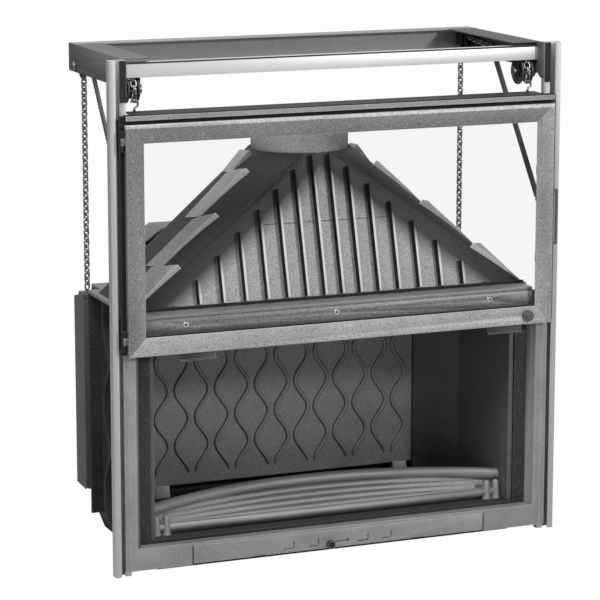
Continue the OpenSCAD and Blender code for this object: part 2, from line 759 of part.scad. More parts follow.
// Sloping plate under the smoke passage and the four rods that carry it
baffle_x = fireback_x - 6;
baffle_front = hood_y + 91;
baffle_rear = fireback_y - 6;
baffle_high = plate_z - 32;
baffle_fall = 45;
rod_xs = [25 - baffle_x, baffle_x - 25];
rod_ys = [baffle_front + 20, baffle_rear - 42];
module baffle() {
    t = 6;
    at_front() color(dark) difference() {
        upright_y(-baffle_x, 2 * baffle_x) polygon([[baffle_front, baffle_high],
            [baffle_rear, baffle_high - baffle_fall], [baffle_rear, baffle_high - baffle_fall + t],
            [baffle_front, baffle_high + t]]);
        for (x = rod_xs) for (y = rod_ys) rod_z(4 + run, baffle_high - 60, plate_z, x, y);
    }
}
module baffle_hangers() {
    at_front() color(steel) for (x = rod_xs) for (y = rod_ys) {
        z = baffle_high - (y - baffle_front) * baffle_fall / (baffle_rear - baffle_front);
        rod_z(4, z - 3, plate_z, x, y);
        rod_z(8, z - 8, z - 2.4, x, y);
    }
}

// Box under the hearth with sides that draw in towards the floor, and the drawer's space inside
module base_box() {
    rear = rear_in - 8;
    at_front() color(dark) difference() {
        upright_x(jamb_rear + 2, rear - jamb_rear - 2)
            polygon([[-wall_x + 20, 0], [wall_x - 20, 0], [wall_x, base_h], [-wall_x, base_h]]);
        block([-pan_x - 2, jamb_rear, pan_low - clear], [pan_x + 2, pan_depth + 8, drawer_top - 3]);
        block([10 - grate_x, grate_y[0] + 10, pan_low], [grate_x - 10, grate_y[1] - 10, base_h + 1]);
    }
}

// The hood turns a rectangular foot into a round crown. The front and the rear are flat plates that are
// narrow at the crown, and each side is a fan of flat panels whose corners lie on the crown's circle.
// The corners lie a little below the foot and above the crown, where the plates are cut level
base_front = [hood_x, hood_y, foot_z];
base_rear = [hood_x, hood_rear, foot_z];
function crown(a) = [crown_r * sin(a), collar_y - crown_r * cos(a), tip_z];
function flip(c) = [-c[0], c[1], c[2]];

// A flat plate through corners in one plane, given so that its thickness goes in behind them
module panel(corners, t) {
    u = (corners[1] - corners[0]) / norm(corners[1] - corners[0]);
    across = cross(u, corners[2] - corners[0]);
    n = across / norm(across);
    v = cross(n, u);
    at = corners[0];
    multmatrix([[u[0], v[0], n[0], at[0]], [u[1], v[1], n[1], at[1]], [u[2], v[2], n[2], at[2]], [0, 0, 0, 1]])
        translate([0, 0, -t]) linear_extrude(t) polygon([for (c = corners) [(c - at) * u, (c - at) * v]]);
}
module hood_trim() {
    far = 2 * half_w;
    difference() {
        children();
        block([-far, -far, 0], [far, far, hood_base]);
        block([-far, -far, crown_z], [far, far, 2 * crown_z]);
        rod_z(collar_r + clear, collar_low - clear, crown_z + 1, 0, collar_y);
    }
}
front_slant = hood_rise / cos(hood_lean);
side_slant = hood_rise / cos(side_lean);
front_in = hood_t + clear;
function rib_x(i) = 19.5 + 39.5 * i + 1.16 * i * i;
// The rib ends follow a line that keeps a border free along the ridge
border = 80;
function rib_top(x) =
    min(hood_rise - 8, (hood_x - border - x) * hood_rise / (hood_x - border - 20)) / cos(hood_lean);
// The ribs start above the place that the door's top rail takes when the door is down
rib_low = 9;
module hood_front() {
    at_front() color(iron) hood_trim() union() {
        panel([flip(base_front), base_front, crown(field_a), flip(crown(field_a))], hood_t);
        translate([0, hood_y, foot_z]) rotate([-hood_lean, 0, 0]) both() for (i = [0 : rib_count - 1])
            block([rib_x(i) - rib_w / 2, -rib_d, rib_low], [rib_x(i) + rib_w / 2, 1, rib_top(rib_x(i))]);
    }
}

// Raised shingles along the front ridge, each thin at its foot and proud at its top
module shingles() {
    count = ceil(hood_rise / shingle_h);
    low_t = 2;
    high_t = 11;
    back = (collar_y - hood_y) / hood_rise;
    last = collar_y + 60;
    for (i = [0 : count - 1]) {
        z0 = i * shingle_h;
        z1 = min(hood_rise, z0 + shingle_h);
        s0 = z0 / cos(side_lean);
        s1 = z1 / cos(side_lean);
        intersection() {
            upright_x(0, body_d) polygon([[-2, s0], [low_t, s0], [high_t, s1], [-2, s1]]);
            upright_y(-3, high_t + 4) polygon([
                [hood_y + back * z0, s0], [hood_y + back * z0 + shingle_d, s0],
                [min(hood_y + back * z1 + shingle_d, last), s1], [hood_y + back * z1 - 4, s1]]);
        }
    }
}
module side_body() {
    thin = 0.01;
    edge = crown_r * cos(field_a);
    hull() {
        block([0, hood_y, foot_z], [hood_x, hood_rear, foot_z + thin]);
        translate([0, collar_y, tip_z - thin]) linear_extrude(thin)
            polygon(concat([[0, edge], [0, -edge]],
                [for (a = [field_a, 52, 90, 128, 180 - field_a]) crown_r * [sin(a), -cos(a)]]));
    }
}
module hood_side() {
    far = 2 * half_w;
    difference() {
        union() {
            side_body();
            translate([hood_x, 3, foot_z]) rotate([0, -side_lean, 0]) shingles();
        }
        translate([0, 0, -hood_t / sin(side_lean)]) side_body();
        translate([0, hood_y, foot_z]) rotate([-hood_lean, 0, 0])
            block([-far, -far, -far], [far, front_in, far]);
        translate([0, hood_rear, foot_z]) rotate([-rear_lean, 0, 0])
            block([-far, -front_in, -far], [far, far, far]);
    }
}
rear_lean = atan((crown_rear - hood_rear) / hood_rise);

// Air chest behind the hood, with its upper corners drawn in
module chest(x, top, y, t) {
    upright_x(y, t) polygon([[-x, hood_base], [-x, top - 25], [40 - x, top], [x - 40, top], [x, top - 25],
        [x, hood_base]]);
}
module hood_rear() {
    chest_x = hood_x - 113;
    chest_top = hood_base + 125;
    wall = 3;
    at_front() color(iron) hood_trim() union() {
        panel([base_rear, flip(base_rear), flip(crown(180 - field_a)), crown(180 - field_a)], hood_t);
        difference() {
            chest(chest_x, chest_top, hood_rear - 2, frame_rear - hood_rear);
            chest(chest_x - wall, chest_top - wall, hood_rear - 3, frame_rear - hood_rear + 1 - wall);
            translate([0, hood_rear, foot_z]) rotate([-rear_lean, 0, 0])
                block([-half_w, -half_w, -half_w], [half_w, -1, half_w]);
        }
    }
}
module flue_collar() {
    at_front() color(iron) difference() {
        rod_z(collar_r, collar_low, collar_top, 0, collar_y);
        rod_z(collar_r - collar_t, collar_low - 1, collar_top + 1, 0, collar_y);
        block([-8, collar_y - collar_r - 1, collar_top - 14],
            [2, collar_y - collar_r + collar_t + 1, collar_top - 10]);
    }
}

module left_post() { at_front() color(steel) on_left() post(); }
module right_post() { at_front() color(steel) post(); }
module front_beam() {
    z = body_h - 9;
    at_front() color(steel) {
        block([-web_x, front_beam_y, z - front_beam_h], [web_x, front_beam_y + 2, z]);
        block([-web_x, front_beam_y, z - 2], [web_x, front_beam_y + 22, z]);
    }
}
module rear_beam() {
    at_front() color(steel) {
        block([-web_x, frame_rear - beam_t, beam_z], [web_x, frame_rear, body_h]);
        block([-web_x, frame_rear - rear_flange + clear, body_h - beam_t], [web_x, frame_rear, body_h]);
    }
}
module left_side_beam() { at_front() color(iron) on_left() side_beam(); }
module right_side_beam() { at_front() color(iron) side_beam(); }
module left_brace() { at_front() color(iron) on_left() brace(); }
module right_brace() { at_front() color(iron) brace(); }
module pulley_brackets() {
    at_front() color("black") both() for (axle = [front_axle, rear_axle]) pulley_bracket(axle);
}
module pulley_axles() { at_front() color(steel) both() for (axle = [front_axle, rear_axle]) pulley_axle(axle); }
module front_left_pulley() { at_front() color(dark) on_left() pulley(front_axle); }
module front_right_pulley() { at_front() color(dark) pulley(front_axle); }
module rear_left_pulley() { at_front() color(dark) on_left() pulley(rear_axle); }
module rear_right_pulley() { at_front() color(dark) pulley(rear_axle); }
module left_top_chain() { at_front() color(steel) on_left() top_chain(); }
module right_top_chain() { at_front() color(steel) top_chain(); }
module left_rear_chain() { at_front() color(steel) on_left() rear_chain(); }
module right_rear_chain() { at_front() color(steel) rear_chain(); }
module front_chains() { at_front() color(steel) both() front_chain(); }
module left_counterweight() { at_front() color(dark) on_left() counterweight(); }
module right_counterweight() { at_front() color(dark) counterweight(); }
module left_wall() { at_front() color(dark) on_left() wall(); }
module right_wall() { at_front() color(dark) wall(); }
module left_side_panel() { at_front() color(iron) on_left() side_panel(); }
module right_side_panel() { at_front() color(iron) side_panel(); }
module hood_left() { at_front() color(iron) hood_trim() on_left() hood_side(); }
module hood_right() { at_front() color(iron) hood_trim() hood_side(); }

left_post();
right_post();
front_beam();
rear_beam();
left_side_beam();
right_side_beam();
left_brace();
right_brace();
pulley_brackets();
pulley_axles();
front_left_pulley();
front_right_pulley();
rear_left_pulley();
rear_right_pulley();
left_top_chain();
right_top_chain();
left_rear_chain();
right_rear_chain();
front_chains();
left_counterweight();
right_counterweight();
door_carriage();
guide_blocks();
hinge_pins();
door_frame();
door_glass();
glass_seal();
glass_clips();
latch_knob();
side_handle();
lift_tabs();
facade_frame();
lintel();
lintel_screws();
top_plate();
left_wall();
right_wall();
back_wall();
rear_jacket();
fireback_plate();
left_side_panel();
right_side_panel();
fireback_lugs();
hearth_floor();
ash_grate();
log_cradle();
ash_drawer_front();
ash_pan();
air_slider();
baffle();
baffle_hangers();
base_box();
hood_front();
hood_left();
hood_right();
hood_rear();
flue_collar();
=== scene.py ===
# %% [markdown]
# # A fireplace insert with a lifting glass door
# The object is a cast-iron firebox with a ribbed hood. A glazed door hangs in front of it on two chains
# that run over pulleys to counterweights. The solids come from the imported model, which is the fixed frame:
# every piece made here, except the front and rear runs of the chains, rides on one of its bodies. This
# first cell loads it and gives the box of any of its parts. Shapes are drawn in millimetres, with the depth
# measured from the front of the posts, and `to_frame` turns such a point into the frame's metres.

# %% Load the frame
import json
import math
from functools import partial

import bmesh
import bpy
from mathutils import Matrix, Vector


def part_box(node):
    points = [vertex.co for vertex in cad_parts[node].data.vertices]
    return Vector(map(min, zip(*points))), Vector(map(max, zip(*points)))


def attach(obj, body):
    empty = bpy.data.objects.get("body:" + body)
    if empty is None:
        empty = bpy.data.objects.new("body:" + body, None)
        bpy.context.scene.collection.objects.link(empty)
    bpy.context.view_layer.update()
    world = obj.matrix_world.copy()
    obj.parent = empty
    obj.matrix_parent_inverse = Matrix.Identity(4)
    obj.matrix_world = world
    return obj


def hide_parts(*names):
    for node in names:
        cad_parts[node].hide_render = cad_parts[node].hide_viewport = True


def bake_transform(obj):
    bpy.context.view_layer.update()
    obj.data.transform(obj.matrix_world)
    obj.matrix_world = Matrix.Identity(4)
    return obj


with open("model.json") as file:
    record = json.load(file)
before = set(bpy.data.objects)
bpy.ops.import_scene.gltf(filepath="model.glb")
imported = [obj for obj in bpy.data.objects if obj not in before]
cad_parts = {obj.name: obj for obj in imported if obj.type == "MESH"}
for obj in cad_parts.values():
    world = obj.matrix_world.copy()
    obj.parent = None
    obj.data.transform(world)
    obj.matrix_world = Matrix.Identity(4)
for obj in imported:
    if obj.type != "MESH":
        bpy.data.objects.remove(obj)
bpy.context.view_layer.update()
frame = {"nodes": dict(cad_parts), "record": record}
BODY_OF = {node: body for body, nodes in frame["record"]["behaviour"]["bodies"].items() for node in nodes}
MM = 0.001
FRONT_Y = -0.173


def to_frame(x, y, z):
    return (x * MM, y * MM + FRONT_Y, z * MM)


def add_object(name, data):
    thing = bpy.data.objects.new(name, data)
    bpy.context.scene.collection.objects.link(thing)
    return thing


# %% [markdown]
# ## Camera
# The photograph was taken with a long lens from the left and a little above, so upright edges stay
# nearly parallel. The yaw and pitch come from where the corners of the door and the top frame fall.
# The camera has no shift, because a shift would move the picture in every other view too.

# %% Camera
LENS, SENSOR = 161.3, 36
CAMERA_PLACE = (-2.1466, -5.0252 + FRONT_Y, 1.6342)
YAW, LOOK_DOWN = -22.216, 11.297


def add_camera():
    data = bpy.data.cameras.new("camera")
    data.sensor_width, data.lens = SENSOR, LENS
    data.clip_start, data.clip_end = 0.1, 60
    cam = add_object("camera", data)
    cam.location = CAMERA_PLACE
    cam.rotation_euler = (math.radians(90 - LOOK_DOWN), 0, math.radians(YAW))
    bpy.context.scene.camera = cam


add_camera()

# %% [markdown]
# ## Studio
# The photograph's light is plain and bright from above, with one smaller lamp to the right of the camera.
# That lamp throws the narrow dark shadow at the left of each rib of the hood. The satin posts and the
# sloping faces of the door show the large lamps as broad highlights. The surroundings are white for the
# camera and in reflections, while the light that falls on the object stays at a plain level. The floor
# is almost white for the camera, and keeps a faint shadow.

# %% Floor, world and lamps
FLOOR_SIZE, FLOOR_DROP = 60, 0.0005
FLOOR_TONE, FLOOR_WHITE = 0.86, 0.98
WORLD_LIGHT = 0.104


def grey(value):
    return (value, value, value, 1)


def feed(value, socket):
    """Links an output to a socket, or sets the socket to a number or a colour."""
    if isinstance(value, bpy.types.NodeSocket):
        socket.id_data.links.new(value, socket)
    else:
        socket.default_value = value


def fill(node, **values):
    """Feeds the sockets of a node by name, with an underscore for a space."""
    for label, value in values.items():
        feed(value, node.inputs[label.replace("_", " ")])
    return node


def math_node(tree, operation, *values):
    node = tree.nodes.new("ShaderNodeMath")
    node.operation = operation
    for value, socket in zip(values, node.inputs):
        feed(value, socket)
    return node.outputs[0]


def node_tree(material):
    material.use_nodes = True
    tree = material.node_tree
    tree.nodes.clear()
    return tree, tree.nodes.new("ShaderNodeOutputMaterial")


def add_floor():
    size = FLOOR_SIZE
    mesh = bpy.data.meshes.new("floor")
    mesh.from_pydata([(-size, -size, 0), (size, -size, 0), (size, size, 0), (-size, size, 0)], [], [(0, 1, 2, 3)])
    floor = add_object("floor", mesh)
    floor.location.z = -FLOOR_DROP
    material = bpy.data.materials.new("pale floor")
    tree, out = node_tree(material)
    white = fill(tree.nodes.new("ShaderNodeEmission"), Strength=1)
    pale = fill(tree.nodes.new("ShaderNodeBsdfDiffuse"), Color=grey(FLOOR_TONE))
    seen = tree.nodes.new("ShaderNodeLightPath").outputs["Is Camera Ray"]
    mix = tree.nodes.new("ShaderNodeMixShader")
    share = math_node(tree, "MULTIPLY", seen, FLOOR_WHITE)
    for value, socket in zip((share, pale.outputs[0], white.outputs[0]), mix.inputs):
        feed(value, socket)
    fill(out, Surface=mix.outputs[0])
    mesh.materials.append(material)


def add_world():
    """White for camera, glossy and transmitted rays, a soft grey for the light on the object."""
    world = bpy.data.worlds.new("studio")
    bpy.context.scene.world = world
    world.use_nodes = True
    tree = world.node_tree
    tree.nodes.clear()
    ray = tree.nodes.new("ShaderNodeLightPath").outputs
    seen = math_node(tree, "MAXIMUM", ray["Is Camera Ray"], ray["Is Transmission Ray"])
    seen = math_node(tree, "MAXIMUM", seen, ray["Is Glossy Ray"])
    level = tree.nodes.new("ShaderNodeMix")
    level.data_type = "FLOAT"
    fill(level, Factor=seen, A=WORLD_LIGHT, B=1.0)
    back = fill(tree.nodes.new("ShaderNodeBackground"), Color=grey(1), Strength=level.outputs["Result"])
    fill(tree.nodes.new("ShaderNodeOutputWorld"), Surface=back.outputs[0])


def add_lamp(name, place, aim, size, power):
    data = bpy.data.lights.new(name, "AREA")
    data.shape = "RECTANGLE"
    data.size, data.size_y = size
    data.energy = power
    lamp = add_object(name, data)
    lamp.location = place
    lamp.rotation_euler = (Vector(aim) - Vector(place)).to_track_quat("-Z", "Y").to_euler()


add_floor()
add_world()
add_lamp("key", (1.45, -3.9, 2.2), (0, 0, 0.5), (0.5, 0.5), 92)
add_lamp("fill", (-3.4, -2.2, 1.2), (0, 0, 0.5), (1.0, 2.4), 9)
add_lamp("top", (-1.0, -1.2, 3.3), (0, 0, 0.6), (1.6, 1.6), 108)
bpy.context.scene.view_settings.view_transform = "Standard"

# %% [markdown]
# ## Shared surface effects
# Sand-cast iron is never smooth: the mould leaves a fine grain, and the heat-proof paint over it has
# lighter and darker flecks. The grain is one node group with its sizes as inputs, so that each iron
# finish can place it with its own values. A second group finds edges by comparing a rounded normal
# with the true one; the finishes lighten the paint there, partly as wear from handling and partly as a
# painted highlight. A third draws the long fine streaks of rolled and brushed steel.

# %% Node groups
NUMBER, COLOUR, VECTOR = "NodeSocketFloat", "NodeSocketColor", "NodeSocketVector"
GRAIN, BROAD = 420.0, 9
NOISE_ROUGHNESS = 0.55


def new_group(name, inputs, outputs):
    group = bpy.data.node_groups.new(name, "ShaderNodeTree")
    for label, kind, value in inputs:
        socket = group.interface.new_socket(name=label, in_out="INPUT", socket_type=kind)
        socket.default_value = value
    for label, kind in outputs:
        group.interface.new_socket(name=label, in_out="OUTPUT", socket_type=kind)
    return group, group.nodes.new("NodeGroupInput"), group.nodes.new("NodeGroupOutput")


def noise_node(tree, vector, scale, detail):
    node = tree.nodes.new("ShaderNodeTexNoise")
    return fill(node, Vector=vector, Scale=scale, Detail=detail, Roughness=NOISE_ROUGHNESS).outputs["Fac"]


def spread(tree, value, low, high, to_low=0.0, to_high=1.0):
    """Maps the range from low to high onto the range from to_low to to_high and clamps what lies beyond."""
    node = tree.nodes.new("ShaderNodeMapRange")
    fill(node, Value=value, From_Min=low, From_Max=high, To_Min=to_low, To_Max=to_high)
    return node.outputs["Result"]


def mix_colour(tree, factor, a, b):
    node = tree.nodes.new("ShaderNodeMix")
    node.data_type = "RGBA"
    node.clamp_result = True
    fill(node, Factor=factor)
    for value, socket in zip((a, b), [socket for socket in node.inputs if socket.type == "RGBA"]):
        feed(value, socket)
    return [socket for socket in node.outputs if socket.type == "RGBA"][0]


def vector_node(tree, operation, a, b):
    node = tree.nodes.new("ShaderNodeVectorMath")
    node.operation = operation
    feed(a, node.inputs[0])
    feed(b, node.inputs["Scale" if operation == "SCALE" else 1])
    return node.outputs["Value" if operation == "DOT_PRODUCT" else "Vector"]


def object_place(tree):
    return tree.nodes.new("ShaderNodeTexCoord").outputs["Object"]


def sand_cast_group():
    """Painted sand casting: colour flecks, a matt-and-satin mottle and a fine relief."""
    group, given, out = new_group(
        "sand cast",
        [("Colour", COLOUR, grey(0.15)), ("Fleck", NUMBER, 0.5), ("Grain", NUMBER, GRAIN),
         ("Roughness", NUMBER, 0.55)],
        [("Colour", COLOUR), ("Roughness", NUMBER), ("Height", NUMBER)])
    calc, given, place = partial(math_node, group), given.outputs, object_place(group)
    fine = noise_node(group, place, given["Grain"], 3)
    broad = noise_node(group, place, BROAD, 4)
    flecks = calc("MULTIPLY", spread(group, fine, 0.56, 0.72), given["Fleck"])
    pits = calc("MULTIPLY", spread(group, fine, 0.42, 0.30), given["Fleck"])
    pale = mix_colour(group, calc("MULTIPLY", flecks, 0.4), given["Colour"], grey(0.5))
    dark = mix_colour(group, pits, pale, grey(0.012))
    cloud = calc("MULTIPLY", spread(group, broad, 0.3, 0.7, 0.86, 1.12), spread(group, fine, 0.3, 0.7, 0.7, 1.3))
    gloss = calc("ADD", given["Roughness"], spread(group, broad, 0.3, 0.7, -0.05, 0.06))
    relief = calc("ADD", fine, calc("MULTIPLY", broad, 0.6))
    fill(out, Colour=vector_node(group, "SCALE", dark, cloud), Roughness=gloss, Height=relief)
    return group


def edge_group():
    """A mask that is 1 along edges, found where a rounded normal leaves the true one."""
    group, given, out = new_group("edge wear and highlight", [("Width", NUMBER, 0.002)], [("Mask", NUMBER)])
    bevel = fill(group.nodes.new("ShaderNodeBevel"), Radius=given.outputs["Width"])
    bevel.samples = 4
    true = group.nodes.new("ShaderNodeNewGeometry").outputs["Normal"]
    likeness = vector_node(group, "DOT_PRODUCT", bevel.outputs[0], true)
    patch = spread(group, noise_node(group, object_place(group), 60, 3), 0.35, 0.6, 0.35, 1.0)
    fill(out, Mask=math_node(group, "MULTIPLY", spread(group, likeness, 0.985, 0.86), patch))
    return group


def streak_group():
    """Long fine streaks along the height of a rolled or brushed steel piece."""
    group, given, out = new_group(
        "steel streaks", [("Along", VECTOR, (1, 1, 0.01)), ("Fineness", NUMBER, 700.0)],
        [("Value", NUMBER), ("Height", NUMBER)])
    stretched = vector_node(group, "MULTIPLY", object_place(group), given.outputs["Along"])
    fine = noise_node(group, stretched, given.outputs["Fineness"], 2)
    fill(out, Value=spread(group, fine, 0.25, 0.75), Height=fine)
    return group


SAND_CAST = sand_cast_group()
# Edge mask: partly wear of the paint, partly a painted highlight along the edges.
EDGE_WEAR_AND_HIGHLIGHT = edge_group()
STREAKS = streak_group()
print("node groups:", [g.name for g in bpy.data.node_groups])

# %% [markdown]
# ## Finishes
# Each finish is one Principled shader fed by the groups above. The iron is satin paint over a rough
# casting, so it is only partly metallic. The posts and the front beam are drawn steel with a bright
# satin skin. The firebox parts are matt and almost black; in the walls, the hearth and the base box that
# black is painted shade. The glass is so clear that the photograph hardly shows it, so its shader lets
# nearly everything through. Two castings get masks of their own from their place, which paint light and
# shade: dark rib sides and a dark band by the ridge on the hood's ribbed front, and lit and shaded faces
# on the door's mitred rim.

# %% Material builders
CAST_RIM, STEEL_RIM = 2.2 * MM, 1.5 * MM
# The hood's ridge lines, the plane of its front (factors of depth and height, offset) and its ribs' crests.
RIDGE_HALF, RIDGE_RISE, RIDGE_FOOT = 0.42, 0.3, 0.537
HOOD_PLANE = (-0.9622, 0.2723, -0.1193 - 0.1462)
CREST = (0.013, 0.0165)
SEAM_Z = 0.695
MITRE_BLUR = 1 * MM


def principled(name):
    material = bpy.data.materials.new(name)
    tree, out = node_tree(material)
    shader = tree.nodes.new("ShaderNodeBsdfPrincipled")
    fill(out, Surface=shader.outputs[0])
    return material, tree, shader


def place_group(tree, group, **values):
    node = tree.nodes.new("ShaderNodeGroup")
    node.node_tree = group
    return fill(node, **values)


def rim_mask(tree, width=CAST_RIM):
    return place_group(tree, EDGE_WEAR_AND_HIGHLIGHT, Width=width).outputs["Mask"]


def axes(tree, vector):
    return fill(tree.nodes.new("ShaderNodeSeparateXYZ"), Vector=vector).outputs


def bump(tree, shader, height, strength, distance):
    node = fill(tree.nodes.new("ShaderNodeBump"), Strength=strength, Distance=distance, Height=height)
    fill(shader, Normal=node.outputs[0])


def iron_surface(tree, shader, cast, tone, wear_and_highlight, metallic, bright=0.66):
    """Feeds the shader with a tone that is lighter along the edge mask, partly wear and partly a painted highlight,
    and with the casting's relief.
    """
    tone = mix_colour(tree, wear_and_highlight, tone, grey(bright))
    fill(shader, Base_Color=tone, Roughness=cast.outputs["Roughness"], Metallic=metallic)
    bump(tree, shader, cast.outputs["Height"], 0.5, 0.6 * MM)


def cast_iron(name, colour, fleck, roughness, metallic, edge, grain=GRAIN):
    material, tree, shader = principled(name)
    cast = place_group(tree, SAND_CAST, Colour=grey(colour), Fleck=fleck, Grain=grain, Roughness=roughness)
    # Lighter edges: partly wear, partly a painted highlight.
    wear_and_highlight = math_node(tree, "MULTIPLY", rim_mask(tree), edge)
    iron_surface(tree, shader, cast, cast.outputs["Colour"], wear_and_highlight, metallic)
    return material


def steel(name, colour, roughness, along=(1, 1, 0.01), metallic=1.0, depth=0.12, edge=0.0):
    """Drawn or rolled steel: its streaks vary the tone by depth and the gloss a little."""
    material, tree, shader = principled(name)
    streak = place_group(tree, STREAKS, Along=along)
    dark, light = grey(colour * (1 - depth)), grey(min(1, colour * (1 + depth)))
    tone = mix_colour(tree, streak.outputs["Value"], dark, light)
    # Lighter edges: partly wear, partly a painted highlight.
    if edge:
        tone = mix_colour(tree, math_node(tree, "MULTIPLY", rim_mask(tree, STEEL_RIM), edge), tone, grey(0.8))
    gloss = spread(tree, streak.outputs["Value"], 0, 1, roughness - 0.05, roughness + 0.08)
    fill(shader, Base_Color=tone, Roughness=gloss, Metallic=metallic)
    bump(tree, shader, streak.outputs["Height"], 0.25, 0.2 * MM)
    return material


def matt(material, level=0.15):
    """The same finish with most of its gloss taken away."""
    fill([node for node in material.node_tree.nodes if node.type == "BSDF_PRINCIPLED"][0], Specular_IOR_Level=level)
    return material


def ribbed_iron():
    """The hood's front with painted shade: the rib sides and a band by the ridge are dark. The rib crests and edges
    are lighter, partly wear and partly a painted highlight.
    """
    material, tree, shader = principled("ribbed iron, painted shade")
    calc, ramp, blend = partial(math_node, tree), partial(spread, tree), partial(mix_colour, tree)
    cast = place_group(tree, SAND_CAST, Colour=grey(0.26), Fleck=0.5, Grain=GRAIN, Roughness=0.5)
    coords = tree.nodes.new("ShaderNodeTexCoord").outputs
    place, facing = axes(tree, coords["Object"]), axes(tree, coords["Normal"])
    across = calc("MULTIPLY", calc("ABSOLUTE", place["X"]), 1 / RIDGE_HALF)
    ridge = calc("ADD", across, calc("MULTIPLY_ADD", place["Z"], 1 / RIDGE_RISE, -RIDGE_FOOT / RIDGE_RISE))
    # Painted shade: a dark band along the ridge lines.
    ridge_shade = ramp(ridge, 0.76, 0.92)
    # Painted shade: the rib sides, found by their normal, are nearly black.
    flank_shade = ramp(calc("ABSOLUTE", facing["X"]), 0.6, 0.8)
    to_front, up, offset = HOOD_PLANE
    proud = calc("ADD", calc("MULTIPLY", place["Y"], to_front), calc("MULTIPLY_ADD", place["Z"], up, offset))
    from_seam = calc("ABSOLUTE", calc("SUBTRACT", place["Z"], SEAM_Z))
    seam = calc("MULTIPLY", ramp(from_seam, 1.2 * MM, 0.4 * MM), ramp(ridge, 1.0, 0.97))
    tone = blend(ridge_shade, cast.outputs["Colour"], grey(0.02))
    tone = blend(flank_shade, tone, grey(0.006))
    tone = blend(seam, tone, grey(0.04))
    # Rib crests and edges lighter: partly wear, partly a painted highlight.
    wear_and_highlight = calc("MAXIMUM", calc("MULTIPLY", rim_mask(tree), 0.35), ramp(proud, *CREST))
    wear_and_highlight = calc("MULTIPLY", wear_and_highlight, calc("SUBTRACT", 1.0, calc("MAXIMUM", flank_shade, ridge_shade)))
    iron_surface(tree, shader, cast, tone, wear_and_highlight, 0.25, bright=0.5)
    return matt(material, 0.25)


def bezel_iron_painted_light():
    """The door's rim with painted light and shade: each of its four mitred faces takes the tone that its slope would
    get from the lamps, and a painted highlight runs along the top edge.
    """
    material, tree, shader = principled("bezel iron, painted light")
    calc, ramp, blend = partial(math_node, tree), partial(spread, tree), partial(mix_colour, tree)
    low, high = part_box("door_frame")
    place = axes(tree, object_place(tree))
    from_side = calc("SUBTRACT", high[0], calc("ABSOLUTE", place["X"]))
    from_foot = calc("SUBTRACT", place["Z"], low[2])
    # Painted light: the bottom face, up to its mitres, is lighter.
    foot = ramp(calc("SUBTRACT", from_side, from_foot), 0, MITRE_BLUR)
    foot = calc("MULTIPLY", foot, ramp(place["Z"], low[2] + 70 * MM, low[2] + 72 * MM, 1, 0))
    # Painted shade: the top face is darker.
    roof = ramp(calc("ADD", from_side, place["Z"]), high[2], high[2] + MITRE_BLUR)
    # Painted highlight: a light band along the top edge.
    crown = ramp(place["Z"], high[2] - 8 * MM, high[2] - 6.5 * MM)
    # Painted light and shade: the left half darker than the right.
    tone = blend(ramp(place["X"], -0.01, 0.01), grey(0.135), grey(0.21))
    tone = blend(roof, tone, grey(0.12))
    tone = blend(crown, tone, grey(0.36))
    tone = blend(foot, tone, grey(0.27))
    cast = place_group(tree, SAND_CAST, Colour=tone, Fleck=0.65, Grain=GRAIN, Roughness=0.5)
    wear_and_highlight = calc("MULTIPLY", rim_mask(tree), 0.6)
    iron_surface(tree, shader, cast, cast.outputs["Colour"], wear_and_highlight, 0.3)
    return material


def clear_glass():
    """Glass that shows only a faint reflection: mostly transparent, with a thin glossy share."""
    material, tree, shader = principled("clear glass")
    fill(shader, Base_Color=grey(0.02), Roughness=0.03, IOR=1.45, Alpha=0.04, Metallic=0.0)
    return material


# %% [markdown]
# Every slot of the record has a finish. A few nodes take one of their own, because the photograph shows
# them lighter or darker than the rest of their slot. The walls, the hearth and the base box are nearly
# black: painted shade for the dark inside of the firebox and below it.

# %% Finishes on the nodes
SIDEWAYS = (0.02, 1, 1)
FINISH = {
    "satin_steel": steel("satin steel", 0.52, 0.46, depth=0.03, metallic=0.7),
    "grey_steel": steel("grey sheet steel", 0.06, 0.6, along=SIDEWAYS, metallic=0.1, edge=0.2),
    "black_steel": matt(steel("black steel", 0.012, 0.5, along=SIDEWAYS, metallic=0.0, edge=0.12)),
    "zinc_steel": steel("zinc steel", 0.2, 0.3, edge=0.5, metallic=0.9),
    "black_iron": cast_iron("black iron", 0.02, 0.15, 0.45, 0.4, edge=0.35),
    "weight_steel": steel("weight steel", 0.1, 0.6, metallic=0.6),
    "grey_iron": cast_iron("grey iron", 0.185, 0.65, 0.5, 0.3, edge=0.6),
    "fire_iron": cast_iron("fire iron", 0.15, 0.2, 0.55, 0.25, edge=0.4),
    "chrome": steel("plated steel", 0.5, 0.25, edge=0.2),
    "glass": clear_glass(),
    "rope": cast_iron("black tape", 0.02, 0.3, 0.9, 0.0, edge=0.0, grain=900.0),
}
SLOT_OF = {row["node"]: row["material_slot"] for row in frame["record"]["subparts"]}
SLOT_OF.update(lift_tabs="black_iron", side_handle="grey_steel", latch_knob="grey_steel")
FINISH_OF = {node: FINISH[slot] for node, slot in SLOT_OF.items()}
FACADE_IRON = cast_iron("facade iron", 0.2, 0.25, 0.5, 0.3, edge=0.5, grain=700)
SHADE_BLACK_IRON = matt(cast_iron("iron painted shade black", 0.022, 0.2, 0.7, 0.0, edge=0.15), 0.2)
LINING_IRON = matt(cast_iron("lining iron", 0.075, 0.2, 0.6, 0.1, edge=0.3), 0.3)
CRADLE_IRON = cast_iron("cradle iron", 0.2, 0.2, 0.5, 0.3, edge=0.3, grain=700)
POST_STEEL = steel("post steel", 0.33, 0.5, metallic=0.5, depth=0.04)
